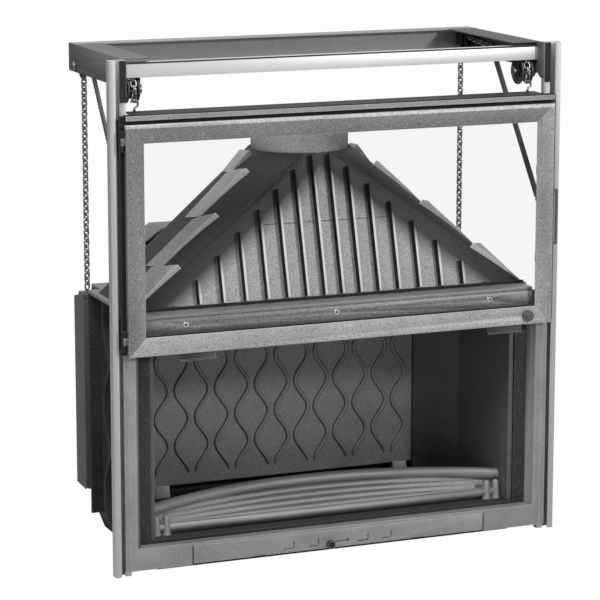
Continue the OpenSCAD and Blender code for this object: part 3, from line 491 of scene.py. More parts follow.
# The rear beam takes a paler copy of the sheet steel: painted light on its face that turns to the lamps.
FINISH_OF.update(hood_front=ribbed_iron(), rear_beam=steel("sheet steel painted light", 0.24, 0.65, metallic=0.1),
                 left_post=POST_STEEL, right_post=POST_STEEL, door_frame=bezel_iron_painted_light(),
                 flue_collar=cast_iron("collar iron", 0.33, 0.6, 0.5, 0.3, edge=0.6),
                 facade_frame=FACADE_IRON, ash_drawer_front=FACADE_IRON, log_cradle=CRADLE_IRON)
# Painted shade: the walls, the hearth and the base box are nearly black.
FINISH_OF.update({node: SHADE_BLACK_IRON for node in ("left_wall", "right_wall", "back_wall", "hearth_floor", "base_box")})
FINISH_OF.update({node: LINING_IRON for node in ("left_side_panel", "right_side_panel", "baffle")})
for node, thing in frame["nodes"].items():
    thing.data.materials.clear()
    thing.data.materials.append(FINISH_OF[node])
print("finishes on", len(frame["nodes"]), "nodes")

# %% [markdown]
# ## Chains
# Each chain runs from a hook on the door carriage up over the front pulley, along the slope of the side
# beam, over the rear pulley and down to a counterweight. The links are round wire, each turned a quarter
# from the next. A Geometry Nodes tree places one link at every pitch along a path, because a chain is
# the plainest case of one shape repeated along a line. The tree turns every second link and ends in
# real geometry, so the result can be kept as a plain mesh.

# %% Helpers for pieces
def paint(thing, finish):
    thing.data.materials.clear()
    thing.data.materials.append(finish)


def finish_piece(thing, node, finish=None):
    """Dresses a piece that stands in for a node and rides on its body."""
    paint(thing, finish or FINISH_OF[node])
    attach(thing, BODY_OF[node])
    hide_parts(node)
    return thing


def add_new(thing, body, slot, finish=None):
    """Dresses a piece that no node stands for."""
    paint(thing, finish or FINISH[slot])
    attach(thing, body)
    return thing


def box_mm(node):
    return [[value / MM for value in corner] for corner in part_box(node)]


def set_smooth(mesh):
    mesh.polygons.foreach_set("use_smooth", [True] * len(mesh.polygons))


def place_mesh(name, mesh, smooth=True):
    mesh.name = name
    if smooth:
        set_smooth(mesh)
    return add_object(name, mesh)


def smooth_by_angle(thing, degrees):
    """Smooth shading, broken along edges sharper than the angle."""
    limit = math.radians(degrees)
    form = bmesh.new()
    form.from_mesh(thing.data)
    for face in form.faces:
        face.smooth = True
    for edge in form.edges:
        edge.smooth = len(edge.link_faces) == 2 and edge.calc_face_angle(0) < limit
    form.to_mesh(thing.data)
    form.free()
    return thing


def from_bmesh(name, form, degrees=40):
    bmesh.ops.recalc_face_normals(form, faces=form.faces)
    mesh = bpy.data.meshes.new(name)
    form.to_mesh(mesh)
    form.free()
    return smooth_by_angle(place_mesh(name, mesh), degrees)


def polyline(points):
    """A bare path mesh through points in millimetres."""
    mesh = bpy.data.meshes.new("path")
    mesh.from_pydata([to_frame(*point) for point in points], [(i, i + 1) for i in range(len(points) - 1)], [])
    return mesh


def baked(holder):
    """Keeps what an object's modifiers or curve make as a mesh, and drops the object."""
    mesh = bpy.data.meshes.new_from_object(holder.evaluated_get(bpy.context.evaluated_depsgraph_get()))
    bpy.data.objects.remove(holder)
    return mesh


def tree_with(name, labels):
    """A geometry tree with a named number for each size, and the material of the piece."""
    tree = bpy.data.node_groups.new(name, "GeometryNodeTree")
    tree.is_modifier = True
    sockets = [("Geometry", "NodeSocketGeometry"), *((label, NUMBER) for label in labels),
               ("Material", "NodeSocketMaterial")]
    for label, kind in sockets:
        tree.interface.new_socket(name=label, in_out="INPUT", socket_type=kind)
    tree.interface.new_socket(name="Geometry", in_out="OUTPUT", socket_type="NodeSocketGeometry")
    return tree, tree.nodes.new("NodeGroupInput").outputs, tree.nodes.new("NodeGroupOutput")


def close_tree(tree, given, out, geometry):
    """Real geometry and a material at the end of the tree."""
    real = fill(tree.nodes.new("GeometryNodeRealizeInstances"), Geometry=geometry)
    painted = tree.nodes.new("GeometryNodeSetMaterial")
    fill(painted, Geometry=real.outputs[0], Material=given["Material"])
    fill(out, Geometry=painted.outputs[0])


def run_tree(tree, source, name, values):
    """Puts the tree on a source mesh and keeps what it makes as a plain mesh object."""
    holder = add_object(name + " source", source)
    modifier = holder.modifiers.new("nodes", "NODES")
    modifier.node_group = tree
    for item in tree.interface.items_tree:
        if item.in_out == "INPUT" and item.name in values:
            modifier[item.identifier] = values[item.name]
    return place_mesh(name, baked(holder))


# %% [markdown]
# A link starts as a rectangle whose corners are rounded until its ends are half circles, and a round
# wire is swept along it. The wire has six sides and each half circle four segments, which is enough for
# links of this size.

# %% The tree that lays links along a path
WIRE_SIDES, BEND_SEGMENTS, NEARLY_HALF = 6, 4, 0.499
QUARTER, FIRST_TURN = math.radians(90), math.radians(67)
LINK = {"Pitch": 11.4 * MM, "Wire radius": 2.1 * MM, "Link width": 15 * MM, "Link length": 20.2 * MM,
        "Material": FINISH["zinc_steel"]}


def link_tree():
    tree, given, out = tree_with("links along a path", ["Pitch", "Wire radius", "Link width", "Link length"])
    new, calc = tree.nodes.new, partial(math_node, tree)
    path = fill(new("GeometryNodeMeshToCurve"), Mesh=given["Geometry"])
    spots = new("GeometryNodeCurveToPoints")
    spots.mode = "LENGTH"
    fill(spots, Curve=path.outputs[0], Length=given["Pitch"])
    wire = calc("MULTIPLY", given["Wire radius"], 2.0)
    wide, tall = calc("SUBTRACT", given["Link width"], wire), calc("SUBTRACT", given["Link length"], wire)
    outline = fill(new("GeometryNodeCurvePrimitiveQuadrilateral"), Width=wide, Height=tall)
    bend = new("GeometryNodeFilletCurve")
    bend.mode = "POLY"
    fill(bend, Curve=outline.outputs[0], Count=BEND_SEGMENTS, Radius=calc("MULTIPLY", wide, NEARLY_HALF))
    ring = fill(new("GeometryNodeCurvePrimitiveCircle"), Resolution=WIRE_SIDES, Radius=given["Wire radius"])
    body = fill(new("GeometryNodeCurveToMesh"), Curve=bend.outputs[0], Profile_Curve=ring.outputs[0])
    stand = fill(new("GeometryNodeTransform"), Geometry=body.outputs[0], Rotation=(QUARTER, 0, 0))
    odd = calc("MODULO", new("GeometryNodeInputIndex").outputs[0], 2.0)
    euler = fill(new("ShaderNodeCombineXYZ"), Z=calc("MULTIPLY_ADD", odd, QUARTER, FIRST_TURN))
    twist = new("FunctionNodeRotateRotation")
    twist.rotation_space = "LOCAL"
    fill(twist, Rotation=spots.outputs["Rotation"], Rotate_By=euler.outputs[0])
    lay = fill(new("GeometryNodeInstanceOnPoints"), Points=spots.outputs["Points"], Instance=stand.outputs[0],
               Rotation=twist.outputs[0])
    close_tree(tree, given, out, lay.outputs[0])
    return tree


LINKS = link_tree()

# %% [markdown]
# The top run is fixed to the frame: it goes a quarter round the front pulley, up the slope and a quarter
# round the rear one. The rear run hangs straight from the rear pulley down to its counterweight. The front
# run is laid out at its full length, as when the door is shut, and the links above the hook are then
# pressed into the throat of the pulley by solving backwards the blend that the door's travel would give
# them, so they would come out at their true size when the door goes down.

# %% Chain runs
CHAIN_X, CHAIN_R = 438, 26
FRONT_AXLE, REAR_AXLE = (57.5, 995), (333, 1015)
FRONT_RUN_Y, REAR_RUN_Y = FRONT_AXLE[0] - CHAIN_R, REAR_AXLE[0] + CHAIN_R
TRAVEL, HOOK_TOP = 410, 974
WEIGHT_TOP = box_mm("left_counterweight")[1][2]
THROAT, LIP = (FRONT_AXLE[1] + 1) * MM, (FRONT_AXLE[1] - 5) * MM
PRESS_REACH, PRESS_ROUNDS = 30 * MM, 40


def wheel_point(axle, angle):
    return (axle[0] + CHAIN_R * math.cos(math.radians(angle)), axle[1] + CHAIN_R * math.sin(math.radians(angle)))


def top_path(side):
    slope = math.degrees(math.atan2(REAR_AXLE[1] - FRONT_AXLE[1], REAR_AXLE[0] - FRONT_AXLE[0]))
    front = [wheel_point(FRONT_AXLE, a) for a in range(175, 95, -8)]
    crest = [wheel_point(FRONT_AXLE, 90 + slope), wheel_point(REAR_AXLE, 90 + slope)]
    rear = [wheel_point(REAR_AXLE, a) for a in range(86, 0, -8)]
    return [(side * CHAIN_X, y, z) for y, z in front + crest + rear]


def straight_path(side, y, top, bottom):
    return [(side * CHAIN_X, y, top), (side * CHAIN_X, y, bottom)]


def press_into_throat(thing, start, end, travel):
    """Moves each point up to where the blend between two heights, start and end, will let it down again."""
    for vertex in thing.data.vertices:
        target = vertex.co.z
        low, high = target, start + PRESS_REACH
        for _ in range(PRESS_ROUNDS):
            middle = (low + high) / 2
            t = min(1, max(0, (start - middle) / (start - end)))
            if middle - travel * t * t * (3 - 2 * t) < target:
                low = middle
            else:
                high = middle
        vertex.co.z = (low + high) / 2


def lay_chain(name, points, node):
    chain = run_tree(LINKS, polyline(points), name, LINK)
    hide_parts(node)
    return chain


for label, side in (("left", -1), ("right", 1)):
    top = lay_chain(label + "_chain_top", top_path(side), label + "_top_chain")
    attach(top, "root")
    rear_path = straight_path(side, REAR_RUN_Y, REAR_AXLE[1] - 3, WEIGHT_TOP + 8)
    rear = lay_chain(label + "_chain_rear", rear_path, label + "_rear_chain")
    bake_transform(rear)
    front_path = straight_path(side, FRONT_RUN_Y, FRONT_AXLE[1] - 2, HOOK_TOP + 6 - TRAVEL)
    front = lay_chain(label + "_chain_front", front_path, "front_chains")
    press_into_throat(front, THROAT, LIP, TRAVEL * MM)
    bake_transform(front)
    print(label, "chain:", len(top.data.polygons) + len(rear.data.polygons) + len(front.data.polygons), "faces")

# %% [markdown]
# ## Softened copies
# A real edge is never sharp, and it is the thin bright line along each edge that makes metal look
# solid. The plain pieces are therefore copied from the solids, cleaned of doubled points and flat seams,
# and given a narrow rounded edge. Folded sheet gets a finer edge than a casting. Each copy stands in for
# its solid.

# %% Copies with rounded edges
DOUBLES, FLAT_ANGLE = 0.02 * MM, 1.5
EDGE_SEGMENTS, EDGE_ANGLE = 2, 32
FINE_EDGE, SHEET_EDGE, THIN_CAST_EDGE, CAST_EDGE = 0.25, 0.4, 0.8, 1.2
SOFT = {
    FINE_EDGE: ["lintel_screws", "hinge_pins", "glass_clips", "latch_knob", "side_handle", "guide_blocks",
                "pulley_axles", "front_left_pulley", "front_right_pulley", "rear_left_pulley",
                "rear_right_pulley", "baffle_hangers", "air_slider", "glass_seal", "ash_pan"],
    SHEET_EDGE: ["left_post", "right_post", "front_beam", "rear_beam", "left_side_beam", "right_side_beam",
                 "left_brace", "right_brace", "pulley_brackets", "rear_jacket", "lift_tabs", "baffle",
                 "ash_drawer_front"],
    THIN_CAST_EDGE: ["hood_front", "flue_collar", "door_frame", "ash_grate"],
    CAST_EDGE: ["door_carriage", "facade_frame", "lintel", "left_counterweight", "right_counterweight",
                "top_plate", "hearth_floor", "left_side_panel", "right_side_panel", "fireback_lugs",
                "left_wall", "right_wall", "base_box", "hood_rear", "back_wall"],
}


def softened_mesh(node, width):
    source = frame["nodes"][node]
    mesh = source.data.copy()
    mesh.transform(source.matrix_world)
    form = bmesh.new()
    form.from_mesh(mesh)
    bmesh.ops.remove_doubles(form, verts=form.verts, dist=DOUBLES)
    bmesh.ops.dissolve_limit(form, angle_limit=math.radians(FLAT_ANGLE), verts=form.verts, edges=form.edges)
    form.to_mesh(mesh)
    form.free()
    set_smooth(mesh)
    holder = add_object("soft source", mesh)
    bevel = holder.modifiers.new("edge", "BEVEL")
    bevel.width = width * MM
    bevel.segments = EDGE_SEGMENTS
    bevel.limit_method = "ANGLE"
    bevel.angle_limit = math.radians(EDGE_ANGLE)
    bevel.harden_normals = True
    return baked(holder)


for width, nodes in SOFT.items():
    for node in nodes:
        finish_piece(place_mesh(node + "_soft", softened_mesh(node, width), smooth=False), node)
print("softened:", sum(len(nodes) for nodes in SOFT.values()))

# %% [markdown]
# ## The hood's sides
# Each side of the hood turns the straight foot into the round crown. In the solid it is a fan of flat
# panels. The real casting is a smooth cone that starts at the corner of the foot, so its shade runs from
# the front's tone to the side's. The skin below is that cone, laid out as a grid of straight lines from
# the corner to points on the crown, and Solidify gives it its thickness; its iron is nearly black, painted
# shade for the dark band along the ridge. Raised shingles step up along the ridge, each thin at its foot
# and proud at its top, with edges painted lighter, partly for wear and partly as a painted highlight.

# %% Cone-shaped sides
HOOD_X, HOOD_FRONT, HOOD_REAR = 443.5, 49, 275
FOOT_Z, FOOT_CUT, CROWN_Z = 537, 540, 834
TIP_Z = CROWN_Z + 3
COLLAR_Y, CROWN_R = 235, 106
HOOD_T = 6
RISE = TIP_Z - FOOT_Z
SIDE_LEAN = math.atan2(HOOD_X - CROWN_R, RISE)
SKIN_ROWS = 14
# Front low, front top, rear low and rear top corner of each shingle: height over the foot and depth.
SHINGLES = (((3, 52), (83, 72), (3, 135), (71, 132)), ((80, 112), (177, 116), (71, 183), (159, 158)),
            ((170, 163), (259, 165), (160, 222), (248, 213)), ((252, 221), (289, 211), (246, 262), (286, 258)))
SHINGLE_LOW, SHINGLE_PROUD, SHINGLE_SUNK = 2.5, 11, 2
SHINGLE_ACROSS, SHINGLE_ALONG = 8, 6


def mirrored(point, side):
    return to_frame(side * point[0], point[1], point[2])


def crown_point(degrees):
    a = math.radians(degrees)
    return Vector((CROWN_R * math.sin(a), COLLAR_Y - CROWN_R * math.cos(a), TIP_Z))


def grid_mesh(name, rows):
    """A surface through rows of points that all have the same count."""
    mesh = bpy.data.meshes.new(name)
    width = len(rows[0])
    faces = [(i * width + j, i * width + j + 1, (i + 1) * width + j + 1, (i + 1) * width + j)
             for i in range(len(rows) - 1) for j in range(width - 1)]
    mesh.from_pydata([point for row in rows for point in row], [], faces)
    return mesh


def side_skin(name, side):
    """The cone in two fans of lines, one from each corner of the foot, with the normals outwards."""
    fans = ((HOOD_FRONT, range(13, 91, 7)), (HOOD_REAR, range(90, 168, 7)))
    lines = [(Vector((HOOD_X, depth, FOOT_Z)), crown_point(a)) for depth, angles in fans for a in angles]
    first, reach = (FOOT_CUT - FOOT_Z) / RISE, (CROWN_Z - FOOT_CUT) / RISE
    levels = [first + i / SKIN_ROWS * reach for i in range(SKIN_ROWS + 1)]
    mesh = grid_mesh(name, [[mirrored(low.lerp(high, t), side) for low, high in lines] for t in levels])
    form = bmesh.new()
    form.from_mesh(mesh)
    bmesh.ops.recalc_face_normals(form, faces=form.faces)
    if sum(face.normal.x for face in form.faces) * side < 0:
        bmesh.ops.reverse_faces(form, faces=form.faces)
    form.to_mesh(mesh)
    form.free()
    holder = add_object(name + " source", mesh)
    solid = holder.modifiers.new("wall", "SOLIDIFY")
    solid.thickness = HOOD_T * MM
    solid.offset = -1
    return place_mesh(name, baked(holder))


def side_surface(height, depth):
    """Distance of the hood's side from the middle: flat between the two ridges, round beyond them."""
    t = height / RISE
    front, rear = HOOD_FRONT + (COLLAR_Y - HOOD_FRONT) * t, HOOD_REAR - (HOOD_REAR - COLLAR_Y) * t
    beyond = max(front - depth, depth - rear, 0)
    turn = CROWN_R * t
    return HOOD_X * (1 - t) + math.sqrt(max(0, turn ** 2 - min(beyond, turn) ** 2))


def shingle_point(corners, u, v, lift, side):
    height, depth = [(front_low * (1 - v) + front_top * v) * (1 - u) + (rear_low * (1 - v) + rear_top * v) * u
                     for front_low, front_top, rear_low, rear_top in zip(*corners)]
    out = side_surface(height, depth) + math.cos(SIDE_LEAN) * lift
    return mirrored((out, depth, FOOT_Z + height + math.sin(SIDE_LEAN) * lift), side)


def join_rings(form, rings):
    """Faces between each ring of points and the next."""
    count = len(rings[0])
    for low, high in zip(rings, rings[1:]):
        for j in range(count):
            form.faces.new((low[j], low[(j + 1) % count], high[(j + 1) % count], high[j]))


def side_shingles(name, side):
    """Plates that follow the hood's side, low at the foot and proud at the top."""
    form = bmesh.new()
    steps = [j / SHINGLE_ACROSS for j in range(SHINGLE_ACROSS + 1)]
    for corners in SHINGLES:
        rings = []
        for i in range(SHINGLE_ALONG + 1):
            v = i / SHINGLE_ALONG
            proud = SHINGLE_LOW + (SHINGLE_PROUD - SHINGLE_LOW) * v
            top = [shingle_point(corners, u, v, proud, side) for u in steps]
            under = [shingle_point(corners, u, v, -SHINGLE_SUNK, side) for u in reversed(steps)]
            rings.append([form.verts.new(point) for point in top + under])
        join_rings(form, rings)
        for ring in (rings[0], rings[-1]):
            for j in range(SHINGLE_ACROSS):
                form.faces.new((ring[j], ring[j + 1], ring[-2 - j], ring[-1 - j]))
    return from_bmesh(name, form, 35)


# The skin's near black is painted shade for the dark band along the ridge. The shingles' lighter edges are partly
# wear and partly a painted highlight.
SKIN_PAINTED_SHADE = matt(cast_iron("hood iron painted shade", 0.021, 0.2, 0.6, 0.0, edge=0.2), 0.2)
SHINGLE_IRON = cast_iron("shingle iron", 0.29, 0.6, 0.45, 0.3, edge=1.0)
for label, side in (("left", -1), ("right", 1)):
    finish_piece(side_skin(f"hood_{label}_skin", side), f"hood_{label}", SKIN_PAINTED_SHADE)
    finish_piece(side_shingles(f"hood_{label}_shingles", side), f"hood_{label}", SHINGLE_IRON)
print("hood sides lean", round(math.degrees(SIDE_LEAN), 1), "degrees")

# %% [markdown]
# ## Fireback
# The fireback is a cast plate with thin round ribs that wave from its top to its bottom. A Geometry Nodes
# tree stands the same line at every step across the plate, bends each to a sine of its height, turns
# every second one the other way and sweeps a round profile along it. The ribs sink half into the plate.

# %% Waved ribs on a cast plate
PLATE_LOW, PLATE_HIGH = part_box("fireback_plate")
PLATE_FACE, PLATE_EDGE = PLATE_LOW[1] + 5 * MM, 2.5 * MM
WAVE_COUNT, WAVE_MARGIN, WAVE_POINTS = 13, 24 * MM, 90
WAVE_STEP = (2 * PLATE_HIGH[0] - 3 * WAVE_MARGIN) / (WAVE_COUNT - 1)
WAVES = {"Step": WAVE_STEP, "Swing": 15 * MM, "Middle": 298 * MM, "Half wave": 62 * MM, "Radius": 4.5 * MM,
         "Material": FINISH["fire_iron"]}
END_TAPER, RIB_SIDES = 30.0, 12


def wave_tree():
    tree, given, out = tree_with("waved ribs", ["Step", "Swing", "Middle", "Half wave", "Radius"])
    new, calc = tree.nodes.new, partial(math_node, tree)
    place = axes(tree, new("GeometryNodeInputPosition").outputs[0])
    phase = calc("DIVIDE", calc("SUBTRACT", place["Z"], given["Middle"]), given["Half wave"])
    wave = calc("COSINE", calc("MULTIPLY", phase, math.pi))
    order = calc("ROUND", calc("DIVIDE", place["X"], given["Step"]))
    turn = calc("COSINE", calc("MULTIPLY", order, math.pi))
    swing = calc("MULTIPLY", calc("MULTIPLY", wave, turn), given["Swing"])
    shift = fill(new("ShaderNodeCombineXYZ"), X=swing)
    bend = fill(new("GeometryNodeSetPosition"), Geometry=given["Geometry"], Offset=shift.outputs[0])
    path = fill(new("GeometryNodeMeshToCurve"), Mesh=bend.outputs[0])
    along = new("GeometryNodeSplineParameter").outputs["Factor"]
    end = calc("MULTIPLY", calc("SUBTRACT", 1.0, along), along)
    taper = calc("POWER", calc("MINIMUM", calc("MULTIPLY", end, END_TAPER), 1.0), 0.5)
    sized = new("GeometryNodeSetCurveRadius")
    fill(sized, Curve=path.outputs[0], Radius=calc("MULTIPLY", taper, given["Radius"]))
    ring = fill(new("GeometryNodeCurvePrimitiveCircle"), Resolution=RIB_SIDES, Radius=1.0)
    body = fill(new("GeometryNodeCurveToMesh"), Curve=sized.outputs[0], Profile_Curve=ring.outputs[0],
                Scale=new("GeometryNodeInputRadius").outputs[0])
    close_tree(tree, given, out, body.outputs[0])
    return tree


def wave_lines():
    """One straight upright line for each rib, its middle just behind the face of the plate."""
    low, high, count = PLATE_LOW[2] + WAVE_MARGIN, PLATE_HIGH[2] - WAVE_MARGIN, WAVE_POINTS
    mesh = bpy.data.meshes.new("straight lines")
    points = [((i - (WAVE_COUNT - 1) / 2) * WAVE_STEP, PLATE_FACE - 1 * MM, low + (high - low) * k / count)
              for i in range(WAVE_COUNT) for k in range(count + 1)]
    edges = [(i * (count + 1) + k, i * (count + 1) + k + 1) for i in range(WAVE_COUNT) for k in range(count)]
    mesh.from_pydata(points, edges, [])
    return mesh


def rounded_block(name, low, high, width, segments=3):
    form = bmesh.new()
    bmesh.ops.create_cube(form, size=1)
    for vertex in form.verts:
        vertex.co = [low[k] + (vertex.co[k] + 0.5) * (high[k] - low[k]) for k in range(3)]
    bmesh.ops.bevel(form, geom=list(form.edges), offset=width, segments=segments, profile=0.5, affect="EDGES")
    mesh = bpy.data.meshes.new(name)
    form.to_mesh(mesh)
    form.free()
    return place_mesh(name, mesh, smooth=False)


waves = finish_piece(run_tree(wave_tree(), wave_lines(), "fireback_waves", WAVES), "fireback_plate")
plate_low = (PLATE_LOW[0], PLATE_FACE, PLATE_LOW[2])
finish_piece(rounded_block("fireback_cast_plate", plate_low, PLATE_HIGH, PLATE_EDGE), "fireback_plate")
print("waved ribs:", WAVE_COUNT, "faces:", len(waves.data.polygons))

# %% [markdown]
# ## Log cradle
# The cradle is one casting: low terraces that rise to a thick bowed rim at the back, a round bar in front
# and two stubs at each end of the bar. Every line on it is an arc between the same two ends, so the
# terraces are made as one grid: for each place across the width a section runs from the front to the
# back, with a rounded nose at each step, and the sections are joined.

# %% Terraces, bar and stubs
CRADLE_LOW, CRADLE_HIGH = box_mm("log_cradle")
CRADLE_FOOT = CRADLE_LOW[2]
CRADLE_HALF = CRADLE_HIGH[0] + 10
CRADLE_FRONT, CRADLE_END, CRADLE_BOW = 72, 96, 110
SECTIONS, NEARLY_ALL = 96, 0.9985
FOOT_H, STEP_H, STEPS = 12, 6.5, 4
MIDDLE_TREAD, END_TREAD = 24, 4
RIM_R, RIM_Z = 13, CRADLE_FOOT + 46.7
# A step's nose as shares of its tread and of its height.
NOSE = ((-0.16, -0.2), (-0.06, 0.0), (0.0, 0.35), (0.04, 0.75), (0.14, 1.05), (0.28, 1.16), (0.44, 1.1), (0.62, 1.0))
BAR_END = CRADLE_HALF - 12
BAR = ((-BAR_END, 8.2), (-BAR_END + 1, 9), (BAR_END - 1, 9), (BAR_END, 8.2))
STUB = ((0, 11), (4, 10), (20, 8.6), (35, 7.6), (38.5, 6.2), (40.4, 3.8), (41, 1.4))
STUB_INSETS = (33, 11)


def arc_y(x, middle, end):
    """Depth of an arc that passes the middle at x = 0 and the end at both ends of the cradle."""
    sag = middle - end
    radius = (CRADLE_HALF ** 2 + sag ** 2) / (2 * sag)
    return middle - radius + math.sqrt(max(0, radius ** 2 - x ** 2))


def cradle_section(x):
    low, front = CRADLE_FOOT, CRADLE_FRONT
    rear = arc_y(x, CRADLE_END + CRADLE_BOW, CRADLE_END)
    edges = [arc_y(x, front + MIDDLE_TREAD * k, front + END_TREAD * k) for k in range(1, STEPS + 1)]
    tread = edges[1] - edges[0]
    section = [(front, low), (front, low + FOOT_H - 3), (front + 0.9, low + FOOT_H - 0.9), (front + 3, low + FOOT_H)]
    for k, edge in enumerate(edges):
        section += [(edge + a * tread, low + FOOT_H + STEP_H * k + b * STEP_H) for a, b in NOSE]
    centre = rear - RIM_R - 1
    section += [(centre + RIM_R * math.cos(math.radians(a)), RIM_Z + RIM_R * math.sin(math.radians(a)))
                for a in range(215, -46, -20)]
    section += [(rear - 6, low + FOOT_H), (rear - 3, low)]
    return section


def cradle_terraces():
    """The sections joined to one closed body, with its ends and its underside."""
    places = [CRADLE_HALF * (2 * i / SECTIONS - 1) * NEARLY_ALL for i in range(SECTIONS + 1)]
    rows = [[to_frame(x, y, z) for y, z in cradle_section(x)] for x in places]
    mesh = grid_mesh("cradle_terraces", rows)
    form = bmesh.new()
    form.from_mesh(mesh)
    form.verts.ensure_lookup_table()
    width = len(rows[0])
    for start in (0, SECTIONS * width):
        form.faces.new([form.verts[start + j] for j in range(width)])
    for i in range(SECTIONS):
        loop = (i * width, (i + 1) * width, (i + 2) * width - 1, (i + 1) * width - 1)
        form.faces.new([form.verts[j] for j in loop])
    bmesh.ops.recalc_face_normals(form, faces=form.faces)
    bmesh.ops.triangulate(form, faces=[face for face in form.faces if len(face.verts) > 4])
    form.to_mesh(mesh)
    form.free()
    return smooth_by_angle(place_mesh("cradle_terraces", mesh), 50)


def turned_mesh(form, profile, place, axis="Z", segments=24):
    """A closed turned shape: the profile is a list of (distance along the axis, radius) in millimetres."""
    rings = []
    for along, radius in profile:
        ring = []
        for k in range(segments):
            a = 2 * math.pi * k / segments
            u, v = radius * math.cos(a), radius * math.sin(a)
            offset = {"X": (along, u, v), "Y": (u, along, v), "Z": (u, v, along)}[axis]
            ring.append(form.verts.new(to_frame(*(place[i] + offset[i] for i in range(3)))))
        rings.append(ring)
    join_rings(form, rings)
    form.faces.new(rings[0])
    form.faces.new(rings[-1])


def turned_piece(name, profile, place, axis, segments=24):
    form = bmesh.new()
    turned_mesh(form, profile, place, axis, segments)
    return from_bmesh(name, form)


def cradle_stubs():
    form = bmesh.new()
    for side in (-1, 1):
        for inset in STUB_INSETS:
            turned_mesh(form, STUB, (side * (CRADLE_HALF - inset), CRADLE_FRONT - 9.2, CRADLE_FOOT))
    return from_bmesh("cradle_stubs", form)


bar = (0, CRADLE_FRONT - 8, CRADLE_FOOT + 14)
for thing in (cradle_terraces(), turned_piece("cradle_bar", BAR, bar, "X"), cradle_stubs()):
    finish_piece(thing, "log_cradle")
    print(thing.name, len(thing.data.polygons), "faces")

# %% [markdown]
# ## Hooks
# The last link of each front chain hangs in an open hook that stands on the door's top rail. The hook is
# a wire bent to three quarters of a ring over a short shank, swept from a curve along its middle line.

# %% Open hooks on the rail
RAIL_TOP = 953
HOOK_R, HOOK_WIRE_R, HOOK_RISE, HOOK_Y = 7.5, 2.2, 15.5, 31.5
WIRE_ROUNDNESS = 5


def swept_wire(name, points, radius):
    """Round wire along points in millimetres, with closed ends."""
    curve = bpy.data.curves.new(name, "CURVE")
    curve.dimensions = "3D"
    spline = curve.splines.new("POLY")
    spline.points.add(len(points) - 1)
    for spot, point in zip(spline.points, points):
        spot.co = (*to_frame(*point), 1)
    curve.bevel_depth = radius * MM
    curve.bevel_resolution = WIRE_ROUNDNESS
    curve.use_fill_caps = True
    made = baked(add_object(name + " path", curve))
    form = bmesh.new()
    form.from_mesh(made)
    bmesh.ops.remove_doubles(form, verts=form.verts, dist=0.01 * MM)
    bpy.data.meshes.remove(made)
    return from_bmesh(name, form, 60)


for label, side in (("left", -1), ("right", 1)):
    x, z = side * CHAIN_X, RAIL_TOP + HOOK_RISE
    turn = [(x + HOOK_R * math.sin(math.radians(a)), HOOK_Y, z + HOOK_R * math.cos(math.radians(a)))
            for a in range(180, -71, -10)]
    hook = swept_wire(label + "_hook", [(x, HOOK_Y, RAIL_TOP - 1)] + turn, HOOK_WIRE_R)
    add_new(hook, "carriage", "zinc_steel")
print("hooks at height", RAIL_TOP)

# %% [markdown]
# ## Trim
# Small parts give the steel and the castings their outline. Dark beads lie along the front beam and the
# door's top rail, and thin black strips are painted shadow in the gaps below the glass, at the foot of the
# hood and at the ends of the ash drawer. Plates face the pulley brackets, and pads carry the drawer's ports.
# All of these are long rounded blocks. Each lintel screw has a bright rim round a black disc that is
# painted shade for its socket, and a black turned knob covers the plain one of the air slider.

# %% Blocks, screws and knob
BEZEL_W = 38
LEAF_LOW, LEAF_HIGH = box_mm("door_frame")
LEAF_Y, SIGHT_X, SIGHT_Z = LEAF_LOW[1] - FRONT_Y / MM, LEAF_HIGH[0] - BEZEL_W, LEAF_LOW[2] + BEZEL_W
PORT_X = (-118.5, -62.3, 50.5, 104.2)
SCREW_X, SCREW_Z = (-344, -12, 340), 518
SOCKET_SHADE = ((-1.7, 2.1), (-1.6, 2.5), (-1.0, 2.6))
SCREW_RIM = ((-1.3, 3.4), (-1.5, 4), (-1.3, 6), (-0.6, 6.5))
KNOB = ((-11, 4.5), (-10.6, 6.6), (-9.4, 8.2), (-8, 8.5), (-2, 8.5), (-0.6, 7.8), (0.1, 6))
KNOB_PLACE = (-25, 0, 21)


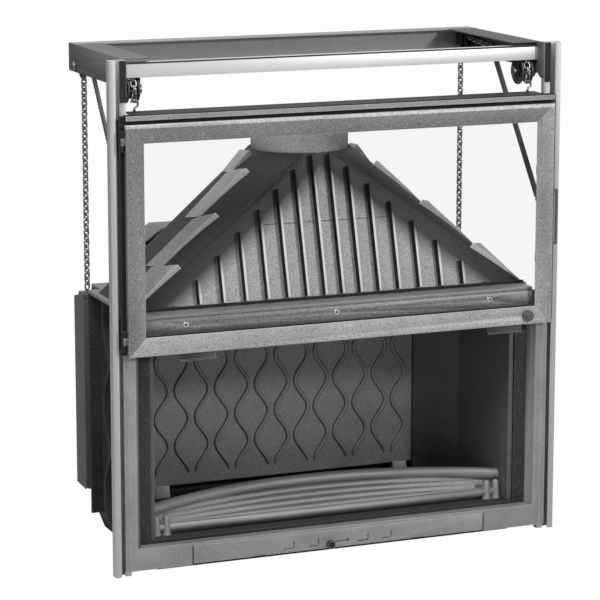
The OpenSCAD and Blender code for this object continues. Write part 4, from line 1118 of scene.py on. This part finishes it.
def trim_block(name, body, xs, ys, zs, edge=0.5, segments=2, slot="black_steel", finish=None):
    """A rounded block between two places on each axis, in millimetres."""
    low, high = [to_frame(*corner) for corner in zip(sorted(xs), ys, zs)]
    return add_new(rounded_block(name, low, high, edge * MM, segments), body, slot, finish)


def bead(name, body, half, ys, zs, finish=None):
    trim_block(name, body, (-half, half), ys, zs, finish=finish)


bead("beam_bead", "root", 460.5, (31.9, 34.5), (1047.4, 1050.5))
# Painted shadow: a black strip in the gap below the glass.
bead("pane_shadow_strip", BODY_OF["door_frame"], SIGHT_X, (LEAF_Y + 5.2, LEAF_Y + 8.4), (SIGHT_Z - 0.5, SIGHT_Z + 3.6))
# Painted shadow: a black strip at the foot of the hood.
bead("hood_foot_shadow_strip", "root", 443, (45.5, 49.5), (537.2, 545.4))
bead("rail_bead", "carriage", 474.5, (-24.3, -21), (951.3, 953.9))
bead("rail_face", "carriage", 474.8, (-24.4, -21), (941.2, 951.2), FINISH["grey_iron"])
for label, side in (("left", -1), ("right", 1)):
    trim_block(label + "_bracket_face", "root", (side * 464.2, side * 477.5), (3.2, 5.4), (975, 1058.5), edge=0.4)
# Painted shadow: black strips in the gaps at the ends of the ash drawer.
for label, side in (("left", -1), ("right", 1)):
    trim_block(label + "_drawer_shadow_strip", "root", (side * 331.2, side * 333.4), (-0.3, 4), (11.5, 50.5), 0.2, 1)
for i, x in enumerate(PORT_X):
    trim_block(f"port_pad_{i}", BODY_OF["ash_drawer_front"], (x - 12.3, x + 10.6), (1.3, 5.4), (20.8, 34.8),
               edge=0.8, slot="grey_iron", finish=FACADE_IRON)
for i, x in enumerate(SCREW_X):
    place = (x, 0, SCREW_Z)
    # Painted shade: a black disc for the hollow of the socket.
    add_new(turned_piece(f"screw_socket_shade_{i}", SOCKET_SHADE, place, "Y", 6), "root", "black_steel")
    add_new(turned_piece(f"screw_rim_{i}", SCREW_RIM, place, "Y"), "root", "chrome")
add_new(turned_piece("slider_knob", KNOB, KNOB_PLACE, "Y"), "slider", "black_steel")
print("trim pieces added")
